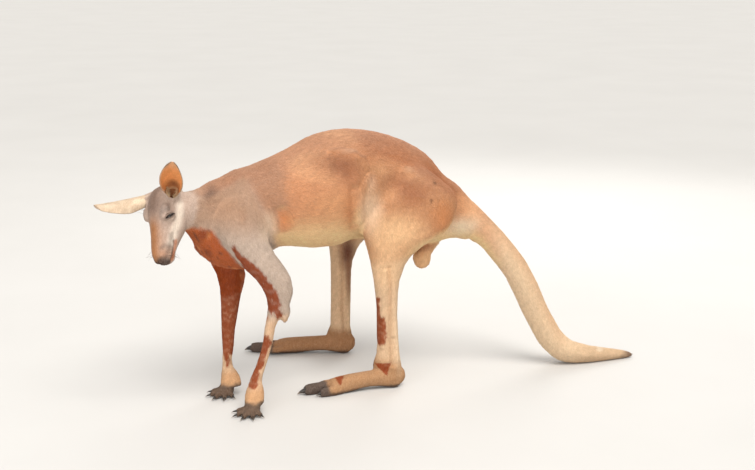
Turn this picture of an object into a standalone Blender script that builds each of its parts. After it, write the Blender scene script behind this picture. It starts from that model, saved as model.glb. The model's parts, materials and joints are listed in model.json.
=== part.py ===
# Red kangaroo
#
# A big male that rests on its long hind feet, both hands and the end of the tail,
# with the head hanging from a low neck.
# The animal faces -X. Its right side is +Y, and +Z is up. All sizes are metres.
#
# The flesh is made whole from lofted forms that melt into each other, and it is
# then parted by thin cuts where a person names the parts of the body.

import math

import bmesh
import bpy
import numpy as np
from mathutils import Matrix, Vector

for thing in list(bpy.data.objects):
    bpy.data.objects.remove(thing, do_unlink=True)

# Driving sizes

GAP = 0.0003          # air between neighbouring parts
BODY_GRAIN = 0.0048   # how finely the big forms are melted together
FINE_GRAIN = 0.0020   # the same for the head, hands and feet
BODY_FACES = 4800
HEAD_FACES = 2700
HAND_FACES = 640
FOOT_FACES = 640

EYE_RADIUS = 0.0165
LID_THICK = 0.0024
EAR_LENGTH = 0.172
EAR_THICK = 0.0030

# Collections

kept = bpy.data.collections.new("red_kangaroo")
bpy.context.scene.collection.children.link(kept)
helpers = bpy.data.collections.new("helpers")
bpy.context.scene.collection.children.link(helpers)


def show(name, mesh, group):
    thing = bpy.data.objects.new(name, mesh)
    group.objects.link(thing)
    return thing


def drop(thing):
    mesh = thing.data
    bpy.data.objects.remove(thing, do_unlink=True)
    bpy.data.meshes.remove(mesh)


# Lofted forms

def spread(rows, count):
    """Places count smooth rows along a short list of measured rows."""
    rows = np.array(rows, dtype=float)
    steps = np.linalg.norm(np.diff(rows[:, :3], axis=0), axis=1)
    place = np.concatenate([[0.0], np.cumsum(steps)])
    slope = np.gradient(rows, place, axis=0)
    smooth = []
    for at in np.linspace(0.0, place[-1], count):
        i = int(np.searchsorted(place, at, side="right")) - 1
        i = max(0, min(i, len(place) - 2))
        span = place[i + 1] - place[i]
        t = (at - place[i]) / span
        smooth.append(
            (2 * t**3 - 3 * t**2 + 1) * rows[i]
            + (t**3 - 2 * t**2 + t) * span * slope[i]
            + (3 * t**2 - 2 * t**3) * rows[i + 1]
            + (t**3 - t**2) * span * slope[i + 1]
        )
    return np.array(smooth)


def ring(centre, tall, wide, depth, width, square, sides):
    """One closed section: tall and wide are unit directions."""
    points = []
    for k in range(sides):
        angle = 2.0 * math.pi * k / sides
        c = math.cos(angle)
        s = math.sin(angle)
        up = math.copysign(abs(c) ** (2.0 / square), c) * depth
        out = math.copysign(abs(s) ** (2.0 / square), s) * width
        points.append(centre + tall * up + wide * out)
    return points


def skin_rings(form, rings):
    """Walks quads between rings and closes both ends."""
    rows = [[form.verts.new(p) for p in points] for points in rings]
    sides = len(rows[0])
    for low, high in zip(rows, rows[1:]):
        for k in range(sides):
            n = (k + 1) % sides
            form.faces.new((low[k], low[n], high[n], high[k]))
    form.faces.new(list(reversed(rows[0])))
    form.faces.new(rows[-1])


def loft(form, rows, count, sides, up, plane=None, square=2.2, calm=1):
    """Rows are x, y, z, half depth, half width. A plane fixes the sections' normal.
    Otherwise it follows the run over calm rings either way, so wide sections never cross."""
    smooth = spread(rows, count)
    rings = []
    for i, row in enumerate(smooth):
        before = smooth[max(i - calm, 0)]
        after = smooth[min(i + calm, count - 1)]
        along = Vector(plane) if plane else Vector(after[:3] - before[:3])
        along.normalize()
        tall = Vector(up) - along * along.dot(Vector(up))
        tall.normalize()
        wide = along.cross(tall)
        depth = max(row[3], 0.001)
        width = max(row[4], 0.001)
        rings.append(ring(Vector(row[:3]), tall, wide, depth, width, square, sides))
    skin_rings(form, rings)


def lump(form, centre, radii, axes=None, segments=20, rings=12):
    """An egg-shaped muscle or pad. Axes are three unit directions for its radii."""
    turn = Matrix.Identity(3)
    if axes:
        turn = Matrix(axes).transposed()
    place = Matrix.Translation(Vector(centre)) @ turn.to_4x4() @ Matrix.Diagonal((*radii, 1.0))
    bmesh.ops.create_uvsphere(
        form, u_segments=segments, v_segments=rings, radius=1.0, matrix=place
    )


def finish_form(form, name):
    bmesh.ops.recalc_face_normals(form, faces=form.faces)
    if form.calc_volume(signed=True) < 0.0:
        bmesh.ops.reverse_faces(form, faces=form.faces)
    mesh = bpy.data.meshes.new(name)
    form.to_mesh(mesh)
    form.free()
    return show(name, mesh, helpers)


def bake(thing):
    """Turns a helper's modifiers into its own mesh."""
    seen = thing.evaluated_get(bpy.context.evaluated_depsgraph_get())
    mesh = bpy.data.meshes.new_from_object(seen)
    old = thing.data
    thing.modifiers.clear()
    thing.data = mesh
    bpy.data.meshes.remove(old)
    return thing


def melt(thing, grain, rounds, faces):
    """Melts overlapping forms into one surface, eases it and thins its faces."""
    remesh = thing.modifiers.new("melt", "REMESH")
    remesh.mode = "VOXEL"
    remesh.voxel_size = grain
    bake(thing)
    ease = thing.modifiers.new("ease", "SMOOTH")
    ease.factor = 0.5
    ease.iterations = rounds
    bake(thing)
    thin = thing.modifiers.new("thin", "DECIMATE")
    thin.ratio = min(1.0, faces / (2.0 * len(thing.data.polygons)))
    bake(thing)
    return thing


def boolean(thing, cutters, operation):
    """One Boolean of a thing with a list of closed helpers, which it uses up."""
    group = bpy.data.collections.new("cutters")
    bpy.context.scene.collection.children.link(group)
    for cutter in cutters:
        helpers.objects.unlink(cutter)
        group.objects.link(cutter)
    step = thing.modifiers.new("cut", "BOOLEAN")
    step.operation = operation
    step.operand_type = "COLLECTION"
    step.collection = group
    step.solver = "MANIFOLD"
    bake(thing)
    for cutter in list(group.objects):
        drop(cutter)
    bpy.data.collections.remove(group)
    return thing


def box(name, low, high, matrix=None):
    form = bmesh.new()
    low = Vector(low)
    high = Vector(high)
    centre = (low + high) / 2.0
    size = high - low
    place = Matrix.Translation(centre) @ Matrix.Diagonal((*size, 1.0))
    bmesh.ops.create_cube(form, size=1.0, matrix=(matrix or Matrix.Identity(4)) @ place)
    return finish_form(form, name)


def facing(point, normal, up=(0.0, 0.0, 1.0)):
    """A placement whose X runs along the normal, from a point."""
    x = Vector(normal).normalized()
    z = Vector(up) - x * x.dot(Vector(up))
    z.normalize()
    y = z.cross(x)
    turn = Matrix((x, y, z)).transposed().to_4x4()
    return Matrix.Translation(Vector(point)) @ turn


def slab(point, normal, half_y, half_z, up=(0.0, 0.0, 1.0)):
    """A cut as thin as the gap, through a point, square to a normal."""
    low = (-GAP / 2.0, -half_y, -half_z)
    high = (GAP / 2.0, half_y, half_z)
    return box("slab", low, high, facing(point, normal, up))


def end_box(point, normal, reach, half_y, half_z, up=(0.0, 0.0, 1.0)):
    """A thick cutter that starts at a point and runs along the normal."""
    return box("end", (0.0, -half_y, -half_z), (reach, half_y, half_z), facing(point, normal, up))


def wedge(walls, grow=0.0):
    """The space in front of all of several walls, each a point and a normal."""
    boxes = []
    for point, normal in walls:
        ahead = Vector(normal).normalized()
        boxes.append((Vector(point) - ahead * grow, ahead))
    solid = end_box(boxes[0][0], boxes[0][1], 0.9, 0.8, 0.8)
    behind = [end_box(point, -ahead, 2.0, 1.5, 1.5) for point, ahead in boxes[1:]]
    return boolean(solid, behind, "DIFFERENCE") if behind else solid


def part_off(flesh, walls):
    """Takes what lies in front of the walls off the flesh, with the gap between."""
    piece = show("piece", flesh.data.copy(), helpers)
    boolean(piece, [wedge(walls)], "INTERSECT")
    boolean(flesh, [wedge(walls, GAP)], "DIFFERENCE")
    return piece


def pieces_of(thing):
    """The loose pieces of a helper, each as a new helper."""
    form = bmesh.new()
    form.from_mesh(thing.data)
    left = set(form.verts)
    found = []
    while left:
        edge = [left.pop()]
        island = set(edge)
        while edge:
            vert = edge.pop()
            for link in vert.link_edges:
                other = link.other_vert(vert)
                if other in left:
                    left.discard(other)
                    island.add(other)
                    edge.append(other)
        found.append(sorted(v.index for v in island))
    form.free()
    found.sort(key=len, reverse=True)
    result = []
    for indices in found:
        part = bmesh.new()
        part.from_mesh(thing.data)
        part.verts.ensure_lookup_table()
        keep = set(indices)
        bmesh.ops.delete(part, geom=[v for v in part.verts if v.index not in keep], context="VERTS")
        result.append(finish_form(part, "piece"))
    drop(thing)
    return result


def holds(thing, point):
    """Whether a point lies inside a closed helper, by counting walls along a line."""
    way = Vector((0.577, 0.211, 0.789)).normalized()
    walls = 0
    start = Vector(point)
    for _ in range(40):
        hit, place, _, _ = thing.ray_cast(start, way)
        if not hit:
            break
        walls += 1
        start = place + way * 1e-6
    return walls % 2 == 1


def keep(thing, name):
    helpers.objects.unlink(thing)
    kept.objects.link(thing)
    thing.name = name
    thing.data.name = name


def share_out(thing, seeds):
    """Names each loose piece for the seed point it holds, and drops the rest."""
    taken = {}
    for piece in pieces_of(thing):
        name = next((n for n, p in seeds.items() if n not in taken and holds(piece, Vector(p))), None)
        if name is None:
            drop(piece)
            continue
        taken[name] = piece
        keep(piece, name)
    print("parts:", sorted(taken), "missing:", sorted(set(seeds) - set(taken)))


# The head's own directions
#
# The head hangs with the nose down, turned to the animal's left.
# Down the face is DOWN, out from the bridge of the nose is OUT, and the
# animal's left is SIDE.

HEAD_TURN = math.radians(43.0)
HEAD_TUCK = math.radians(15.0)
HEAD_ROLL = math.radians(11.0)
POLL = Vector((-0.664, -0.385, 0.722))

HANG = Vector((0.0, 0.0, -1.0))
level_out = Vector((-math.sin(HEAD_TURN), -math.cos(HEAD_TURN), 0.0))
level_side = level_out.cross(HANG)
SIDE = (level_side * math.cos(HEAD_ROLL) - HANG * math.sin(HEAD_ROLL)).normalized()
DOWN = HANG * math.cos(HEAD_ROLL) + level_side * math.sin(HEAD_ROLL)
DOWN = (DOWN * math.cos(HEAD_TUCK) + level_out * math.sin(HEAD_TUCK)).normalized()
OUT = SIDE.cross(DOWN).normalized() * -1.0
if OUT.dot(level_out) < 0.0:
    OUT = -OUT


def on_head(down, out, side=0.0):
    """A point from its distances down the face, out of the bridge and to the left."""
    return POLL + DOWN * down + OUT * out + SIDE * side


def head_way(down, out, side):
    return (DOWN * down + OUT * out + SIDE * side).normalized()


# Down the face: distance, out to the bridge, back to the jaw, half width
HEAD_SECTIONS = [
    (-0.022, 0.020, 0.030, 0.026),
    (-0.010, 0.038, 0.048, 0.042),
    (0.010, 0.050, 0.060, 0.052),
    (0.040, 0.056, 0.066, 0.056),
    (0.065, 0.055, 0.068, 0.057),
    (0.092, 0.051, 0.070, 0.053),
    (0.118, 0.047, 0.066, 0.045),
    (0.145, 0.044, 0.053, 0.038),
    (0.172, 0.042, 0.041, 0.0345),
    (0.196, 0.038, 0.034, 0.0320),
    (0.212, 0.031, 0.030, 0.0280),
    (0.224, 0.019, 0.021, 0.0210),
    (0.229, 0.006, 0.008, 0.0090),
]


EYE_AT = (0.0765, 0.021, 0.0475)
EYE_LOOK = (0.10, 0.52, 0.85)
EAR_ROOTS = {1.0: (0.014, 0.012, 0.046), -1.0: (0.018, 0.017, -0.046)}
MOUTH_CORNER = 0.158
MOUTH_OUT = -0.010


def head_forms(form):
    rows = []
    for down, bridge, jaw, half in HEAD_SECTIONS:
        middle = on_head(down, (bridge - jaw) / 2.0)
        rows.append((*middle, (bridge + jaw) / 2.0, half))
    loft(form, rows, 40, 32, OUT, plane=DOWN, square=2.35)
    turn = (DOWN, OUT, SIDE)
    for hand in (1.0, -1.0):
        # cheek, brow, lids, arch under the eye, upper lip and chin
        lump(form, on_head(0.088, -0.022, hand * 0.030), (0.044, 0.036, 0.0235), turn)
        lump(form, on_head(0.066, 0.0365, hand * 0.0450), (0.029, 0.0165, 0.0165), turn)
        lump(form, on_head(EYE_AT[0], EYE_AT[1], hand * EYE_AT[2]), (EYE_RADIUS + LID_THICK,) * 3)
        lump(form, on_head(0.100, 0.006, hand * 0.036), (0.036, 0.013, 0.0135), turn)
        lump(form, on_head(0.190, 0.006, hand * 0.016), (0.030, 0.020, 0.0190), turn)
        lump(form, on_head(0.198, -0.022, hand * 0.009), (0.022, 0.013, 0.016), turn)
        ear_stump(form, hand)
    # nose pad
    lump(form, on_head(0.211, 0.019), (0.017, 0.015, 0.018), turn)


# The left ear stands and turns its cup ahead, the right one lies out level with
# its cup down.
EAR_WAYS = {1.0: (0.135, -0.745, 0.655), -1.0: (-0.960, 0.10, -0.280)}
EAR_CUPS = {1.0: (-0.12, -0.72, -0.68), -1.0: (0.10, -0.08, -1.00)}


def ear_frame(hand):
    """Root, direction, cup normal and across direction of an ear."""
    root = on_head(*EAR_ROOTS[hand])
    way = Vector(EAR_WAYS[hand]).normalized()
    cup = Vector(EAR_CUPS[hand])
    cup = (cup - way * way.dot(cup)).normalized()
    return root, way, cup, way.cross(cup).normalized()


EAR_SEAM = 0.026


def ear_stump(form, hand):
    root, way, cup, across = ear_frame(hand)
    rows = []
    for along, depth, half in ((-0.014, 0.028, 0.028), (0.010, 0.0225, 0.0225), (0.034, 0.0210, 0.0210)):
        rows.append((*(root + way * along), depth, half))
    loft(form, rows, 8, 16, cup, plane=way, square=2.0)


# The trunk
#
# Rows from the throat to the root of the tail: place, half depth, half width.

TRUNK = [
    (-0.655, -0.398, 0.676, 0.046, 0.044),
    (-0.622, -0.372, 0.668, 0.056, 0.048),
    (-0.590, -0.345, 0.656, 0.073, 0.055),
    (-0.558, -0.318, 0.640, 0.108, 0.072),
    (-0.516, -0.288, 0.610, 0.146, 0.096),
    (-0.455, -0.255, 0.605, 0.165, 0.112),
    (-0.382, -0.220, 0.641, 0.144, 0.126),
    (-0.314, -0.188, 0.652, 0.156, 0.138),
    (-0.243, -0.148, 0.661, 0.177, 0.152),
    (-0.183, -0.110, 0.674, 0.192, 0.156),
    (-0.116, -0.070, 0.686, 0.191, 0.152),
    (-0.043, -0.038, 0.680, 0.186, 0.142),
    (0.033, -0.012, 0.657, 0.179, 0.134),
    (0.108, 0.006, 0.625, 0.162, 0.124),
    (0.178, 0.020, 0.587, 0.129, 0.104),
    (0.239, 0.030, 0.565, 0.107, 0.084),
    (0.298, 0.035, 0.545, 0.0745, 0.063),
    (0.330, 0.036, 0.526, 0.062, 0.056),
]

TAIL = [
    (0.239, 0.030, 0.565, 0.098, 0.078),
    (0.298, 0.035, 0.545, 0.0735, 0.062),
    (0.353, 0.037, 0.513, 0.054, 0.051),
    (0.398, 0.040, 0.475, 0.047, 0.045),
    (0.442, 0.040, 0.424, 0.047, 0.044),
    (0.488, 0.042, 0.363, 0.0465, 0.044),
    (0.524, 0.044, 0.297, 0.047, 0.044),
    (0.561, 0.046, 0.216, 0.046, 0.043),
    (0.594, 0.048, 0.152, 0.046, 0.043),
    (0.630, 0.050, 0.094, 0.046, 0.043),
    (0.676, 0.055, 0.052, 0.044, 0.043),
    (0.747, 0.066, 0.032, 0.0355, 0.037),
    (0.827, 0.086, 0.0225, 0.0250, 0.027),
    (0.900, 0.108, 0.0145, 0.0160, 0.0175),
    (0.934, 0.119, 0.0080, 0.0085, 0.009),
    (0.941, 0.121, 0.0060, 0.003, 0.003),
]

# Legs, in level sections: place, half length fore and aft, half width

THIGH_LEFT = [
    (0.100, -0.072, 0.762, 0.030, 0.022),
    (0.112, -0.084, 0.732, 0.070, 0.044),
    (0.122, -0.108, 0.668, 0.142, 0.066),
    (0.105, -0.130, 0.600, 0.160, 0.068),
    (0.089, -0.148, 0.542, 0.142, 0.064),
    (0.055, -0.160, 0.491, 0.094, 0.056),
    (0.037, -0.168, 0.440, 0.063, 0.048),
    (0.031, -0.175, 0.378, 0.046, 0.038),
]

SHANK_LEFT = [
    (0.037, -0.168, 0.440, 0.060, 0.046),
    (0.031, -0.175, 0.378, 0.046, 0.038),
    (0.032, -0.178, 0.290, 0.0375, 0.030),
    (0.033, -0.180, 0.202, 0.0380, 0.027),
    (0.036, -0.182, 0.123, 0.0410, 0.027),
    (0.034, -0.184, 0.070, 0.0500, 0.029),
    (0.040, -0.184, 0.040, 0.0480, 0.028),
]

THIGH_RIGHT = [
    (0.060, 0.088, 0.760, 0.040, 0.026),
    (0.050, 0.098, 0.725, 0.100, 0.046),
    (0.015, 0.118, 0.655, 0.165, 0.066),
    (-0.020, 0.136, 0.590, 0.178, 0.068),
    (-0.050, 0.148, 0.530, 0.150, 0.062),
    (-0.085, 0.156, 0.478, 0.100, 0.054),
    (-0.116, 0.160, 0.430, 0.062, 0.046),
    (-0.131, 0.164, 0.365, 0.044, 0.036),
]

SHANK_RIGHT = [
    (-0.122, 0.160, 0.430, 0.058, 0.044),
    (-0.131, 0.164, 0.365, 0.0430, 0.036),
    (-0.135, 0.168, 0.260, 0.0385, 0.029),
    (-0.137, 0.170, 0.165, 0.0385, 0.027),
    (-0.139, 0.172, 0.100, 0.0400, 0.027),
    (-0.142, 0.173, 0.066, 0.0480, 0.029),
    (-0.138, 0.173, 0.038, 0.0450, 0.028),
]

UPPER_ARM_LEFT = [
    (-0.462, -0.296, 0.722, 0.034, 0.024),
    (-0.468, -0.316, 0.692, 0.062, 0.044),
    (-0.464, -0.336, 0.648, 0.084, 0.054),
    (-0.442, -0.350, 0.584, 0.084, 0.054),
    (-0.407, -0.362, 0.528, 0.071, 0.048),
    (-0.367, -0.372, 0.478, 0.068, 0.041),
    (-0.334, -0.379, 0.436, 0.058, 0.034),
    (-0.318, -0.383, 0.388, 0.045, 0.028),
    (-0.321, -0.387, 0.339, 0.033, 0.022),
]

FOREARM_LEFT = [
    (-0.318, -0.383, 0.388, 0.040, 0.027),
    (-0.328, -0.387, 0.339, 0.028, 0.023),
    (-0.345, -0.392, 0.291, 0.0195, 0.0200),
    (-0.358, -0.398, 0.224, 0.0175, 0.0180),
    (-0.376, -0.404, 0.162, 0.0180, 0.0175),
    (-0.396, -0.410, 0.105, 0.0215, 0.0190),
    (-0.400, -0.418, 0.062, 0.0310, 0.0230),
    (-0.402, -0.426, 0.030, 0.0320, 0.0240),
]

UPPER_ARM_RIGHT = [
    (-0.535, -0.190, 0.692, 0.034, 0.024),
    (-0.550, -0.182, 0.650, 0.066, 0.045),
    (-0.552, -0.184, 0.595, 0.070, 0.050),
    (-0.536, -0.190, 0.530, 0.062, 0.046),
    (-0.510, -0.198, 0.455, 0.056, 0.042),
    (-0.492, -0.208, 0.400, 0.048, 0.036),
    (-0.491, -0.218, 0.356, 0.039, 0.030),
]

FOREARM_RIGHT = [
    (-0.491, -0.214, 0.380, 0.042, 0.032),
    (-0.494, -0.224, 0.330, 0.035, 0.028),
    (-0.498, -0.230, 0.280, 0.030, 0.0250),
    (-0.503, -0.236, 0.225, 0.0250, 0.0220),
    (-0.505, -0.242, 0.161, 0.0205, 0.0195),
    (-0.508, -0.247, 0.098, 0.0190, 0.0185),
    (-0.498, -0.255, 0.060, 0.0320, 0.0240),
    (-0.496, -0.262, 0.032, 0.0360, 0.0260),
]


SCROTUM_STALK = [
    (0.184, 0.020, 0.486, 0.046, 0.026),
    (0.176, 0.020, 0.452, 0.032, 0.021),
    (0.163, 0.020, 0.420, 0.027, 0.021),
]


def trunk_forms(form):
    loft(form, TRUNK, 60, 40, (0.0, 0.0, 1.0), square=2.15, calm=6)
    loft(form, TAIL, 80, 28, (0.0, 0.0, 1.0), square=2.0)
    # brisket and scrotum
    lump(form, (-0.546, -0.270, 0.547), (0.062, 0.052, 0.070))
    lump(form, (0.157, 0.020, 0.404), (0.034, 0.030, 0.040))
    loft(form, SCROTUM_STALK, 6, 14, (1.0, 0.0, 0.0), square=2.0)


def limb_forms(form):
    fore = (1.0, 0.0, 0.0)
    level = (0.0, 0.0, 1.0)
    # point of the near elbow
    lump(form, (-0.300, -0.386, 0.339), (0.0195, 0.017, 0.047))
    for rows in (THIGH_LEFT, SHANK_LEFT, THIGH_RIGHT, SHANK_RIGHT,
                 UPPER_ARM_LEFT, FOREARM_LEFT, UPPER_ARM_RIGHT, FOREARM_RIGHT):
        loft(form, rows, 30, 24, fore, plane=level, square=2.1)


# Feet and hands
#
# Each digit is a tapering loft whose tip is cut flat, and its claw stands
# one gap off that face.


class Foot:
    """A hind foot, by its heel, its direction and its length."""

    def __init__(self, side, heel, turn, length):
        self.side = side
        self.heel = Vector(heel)
        self.fore = Vector((-math.cos(turn), math.sin(turn), 0.0))
        self.out = Vector((0.0, 0.0, 1.0)).cross(self.fore) * (1.0 if side == "left" else -1.0)
        self.length = length

    def at(self, along, out, up):
        return self.heel + self.fore * (along * self.length) + self.out * out + Vector((0, 0, up))


# Along the foot: share of its length, out, height of the middle, half depth, half width
FOOT_ROWS = [
    (-0.015, 0.0, 0.034, 0.018, 0.016),
    (0.03, 0.0, 0.034, 0.036, 0.026),
    (0.12, 0.0, 0.036, 0.0345, 0.029),
    (0.24, 0.0, 0.0365, 0.0280, 0.0275),
    (0.40, 0.001, 0.0325, 0.0270, 0.029),
    (0.54, 0.004, 0.0255, 0.0290, 0.0335),
    (0.63, 0.006, 0.022, 0.0265, 0.0360),
    (0.675, 0.006, 0.020, 0.0230, 0.0330),
    (0.690, 0.006, 0.019, 0.0180, 0.0260),
]
TOE_ROWS = {
    "toe_big": [(0.62, -0.002, 0.020, 0.0240, 0.0195), (0.78, -0.001, 0.017, 0.0205, 0.0190),
                (0.88, 0.003, 0.0160, 0.0195, 0.0195), (0.945, 0.006, 0.0135, 0.0155, 0.0160)],
    "toe_outer": [(0.58, 0.026, 0.018, 0.0190, 0.0130), (0.68, 0.0375, 0.016, 0.0180, 0.0120),
                  (0.765, 0.0405, 0.0145, 0.0165, 0.0115), (0.815, 0.0420, 0.012, 0.0120, 0.0090)],
    "toe_inner": [(0.56, -0.022, 0.023, 0.0150, 0.0110), (0.66, -0.0335, 0.0205, 0.0125, 0.0105),
                  (0.74, -0.0355, 0.0175, 0.0110, 0.0105), (0.775, -0.0355, 0.0160, 0.0085, 0.0085)],
}
# Where each toe's tip is cut for its claw, as a share of the foot's length
TOE_ENDS = {"toe_big": 0.925, "toe_outer": 0.800, "toe_inner": 0.762}

LEFT_FOOT = Foot("left", (0.078, -0.178, 0.0), math.radians(-14.5), 0.362)
RIGHT_FOOT = Foot("right", (-0.100, 0.172, 0.0), math.radians(0.5), 0.401)


def foot_forms(form, foot):
    up = (0.0, 0.0, 1.0)
    rows = [(*foot.at(a, o, h), d, w) for a, o, h, d, w in FOOT_ROWS]
    loft(form, rows, 30, 24, up, square=2.4)
    for rows in TOE_ROWS.values():
        rows = [(*foot.at(a, o, h), d, w) for a, o, h, d, w in rows]
        loft(form, rows, 14, 16, up, square=2.2)
    # heel
    lump(form, foot.at(0.015, 0.0, 0.040), (0.024, 0.022, 0.032))


class Hand:
    """A hand set down on its palm, by the middle of the palm and its direction."""

    def __init__(self, side, palm, turn):
        self.side = side
        self.palm = Vector(palm)
        self.turn = turn

    def way(self, spread_angle):
        angle = self.turn + math.radians(spread_angle)
        return Vector((-math.cos(angle), math.sin(angle), 0.0))


LEFT_HAND = Hand("left", (-0.407, -0.440, 0.0), math.radians(-66.0))
RIGHT_HAND = Hand("right", (-0.512, -0.268, 0.0), math.radians(-58.0))
FINGER_SPREAD = (-66.0, -32.0, 0.0, 32.0, 66.0)
FINGER_REACH = (0.049, 0.058, 0.062, 0.059, 0.052)
FINGER_THICK = 0.0088


def hand_forms(form, hand):
    up = (0.0, 0.0, 1.0)
    lump(form, hand.palm + Vector((0, 0, 0.020)), (0.027, 0.027, 0.024))
    for angle, reach in zip(FINGER_SPREAD, FINGER_REACH):
        way = hand.way(angle)
        rows = []
        for share, height, thick in ((0.1, 0.020, 0.011), (0.5, 0.0165, 0.0098),
                                     (0.8, 0.0120, 0.0090), (1.06, 0.0095, 0.0075)):
            rows.append((*(hand.palm + way * (reach * share) + Vector((0, 0, height))),
                         thick * 1.05, thick * 0.88))
        loft(form, rows, 12, 14, up, square=2.1)


def claw(name, root, way, length, depth, half, droop, sides=8, rows=4):
    """A curved claw that starts with a flat face at its root."""
    way = Vector(way).normalized()
    up = Vector((0.0, 0.0, 1.0))
    wide = way.cross(up).normalized()
    rings = []
    for i in range(rows + 1):
        t = i / rows
        bend = droop * t * t
        centre = root + way * (length * t * (1.0 - 0.12 * t)) - up * bend
        size = (1.0 - t) ** 0.65 * (1.0 - 0.10 * t) if i < rows else 0.06
        rings.append(ring(centre, up, wide, depth * size, half * size, 2.0, sides))
    form = bmesh.new()
    skin_rings(form, rings)
    thing = finish_form(form, name)
    keep(thing, name)
    return thing


# Ears, eyes and the openings of the face

EAR_SHARES = (0.0, 0.12, 0.30, 0.50, 0.66, 0.82, 0.93, 1.0)
EAR_HALVES = (0.0200, 0.0240, 0.0320, 0.0370, 0.0360, 0.0285, 0.0190, 0.0060)
EAR_WRAPS = (150.0, 135.0, 116.0, 92.0, 80.0, 74.0, 62.0, 38.0)
EAR_BENDS = {1.0: 0.010, -1.0: -0.012}


def ear(name, hand):
    """A leaf rolled into a cup, open along its front."""
    root, way, cup, across = ear_frame(hand)
    start = root + way * EAR_SEAM
    rows = 13
    columns = 10
    form = bmesh.new()
    grid = []
    for i in range(rows):
        t = -0.03 + 1.03 * i / (rows - 1)
        half = float(np.interp(t, EAR_SHARES, EAR_HALVES))
        wrap = math.radians(float(np.interp(t, EAR_SHARES, EAR_WRAPS)))
        radius = half / math.sin(min(wrap, math.pi / 2.0))
        middle = start + way * (t * EAR_LENGTH) + cup * (EAR_BENDS[hand] * t * t - EAR_HALVES[0])
        row = []
        for k in range(columns + 1):
            angle = wrap * (2.0 * k / columns - 1.0)
            point = middle + across * (radius * math.sin(angle))
            point += cup * (radius * (1.0 - math.cos(angle)))
            row.append(form.verts.new(point))
        grid.append(row)
    for low, high in zip(grid, grid[1:]):
        for k in range(columns):
            form.faces.new((low[k], low[k + 1], high[k + 1], high[k]))
    leaf = finish_form(form, name)
    wall = leaf.modifiers.new("wall", "SOLIDIFY")
    wall.thickness = EAR_THICK
    wall.offset = 0.0
    bake(leaf)
    below = end_box(start + way * GAP, -way, 0.03, 0.05, 0.05, cup)
    leaf = boolean(leaf, [below], "DIFFERENCE")
    keep(leaf, name)


def eye_frame(hand):
    """Middle, look, corner-to-corner and height directions of an eye."""
    middle = on_head(EYE_AT[0], EYE_AT[1], hand * EYE_AT[2])
    look = head_way(EYE_LOOK[0], EYE_LOOK[1], hand * EYE_LOOK[2])
    corner = head_way(SLIT_WAY[0], SLIT_WAY[1], hand * SLIT_WAY[2])
    corner = (corner - look * look.dot(corner)).normalized()
    return middle, look, corner, look.cross(corner).normalized()


SLIT_WAY = (-0.55, -0.68, 0.48)
SLIT_LENGTH = 0.034
SLIT_HEIGHT = 0.0040


def ball(name, hand, radius):
    middle, look, corner, height = eye_frame(hand)
    form = bmesh.new()
    lump(form, middle, (radius, radius, radius), (corner, height, look), 16, 10)
    return finish_form(form, name)


def slit(hand):
    """The opening between the lids, cut along the look."""
    middle, look, corner, height = eye_frame(hand)
    outline = []
    for k in range(12):
        angle = 2.0 * math.pi * k / 12
        outline.append((math.cos(angle) * SLIT_LENGTH / 2.0, math.sin(angle) * SLIT_HEIGHT / 2.0))
    form = bmesh.new()
    rings = []
    for reach in (EYE_RADIUS * 0.55, EYE_RADIUS + 0.014):
        rings.append([middle + look * reach + corner * a + height * b for a, b in outline])
    skin_rings(form, rings)
    return finish_form(form, "slit")


def mouth_cutter():
    """A thin plate that follows the lips and opens the line of the mouth."""
    side_path = [(MOUTH_CORNER, 0.0345), (0.176, 0.0345), (0.196, 0.0325), (0.210, 0.0280),
                 (0.221, 0.0205), (0.228, 0.0100)]
    path = [(down, -side) for down, side in side_path] + [(0.2290, 0.0)]
    path += [(down, side) for down, side in reversed(side_path)]
    half = 0.0008
    form = bmesh.new()
    rings = []
    for i, (down, side) in enumerate(path):
        edge = min(i, len(path) - 1 - i)
        bite = 0.0015 if edge == 0 else 0.0050
        out = MOUTH_OUT + 0.0040 * min(1.0, max(0.0, (down - 0.19) / 0.035)) - 0.003 * (edge == 0)
        away = Vector((down - 0.170, side * 1.2)).normalized()
        if down < 0.20:
            away = Vector((0.0, math.copysign(1.0, side)))
        inner = on_head(down - away.x * bite, out, side - away.y * bite)
        outer = on_head(down + away.x * 0.008, out, side + away.y * 0.008)
        rings.append([inner + OUT * half, outer + OUT * half, outer - OUT * half, inner - OUT * half])
    skin_rings(form, rings)
    return finish_form(form, "mouth")


def nostril(hand):
    form = bmesh.new()
    turn = (head_way(1.0, -0.3, 0.0), head_way(0.3, 1.0, hand * 0.55), head_way(-0.2, -0.5, hand * 1.0))
    lump(form, on_head(0.2235, 0.0165, hand * 0.0085), (0.0055, 0.0022, 0.0042), turn, 10, 6)
    return finish_form(form, "nostril")


# Seams
#
# A wall is a point and a normal. A limb is what lies in front of all its walls.

UP = (0.0, 0.0, 1.0)
AHEAD = (1.0, 0.0, 0.0)

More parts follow.
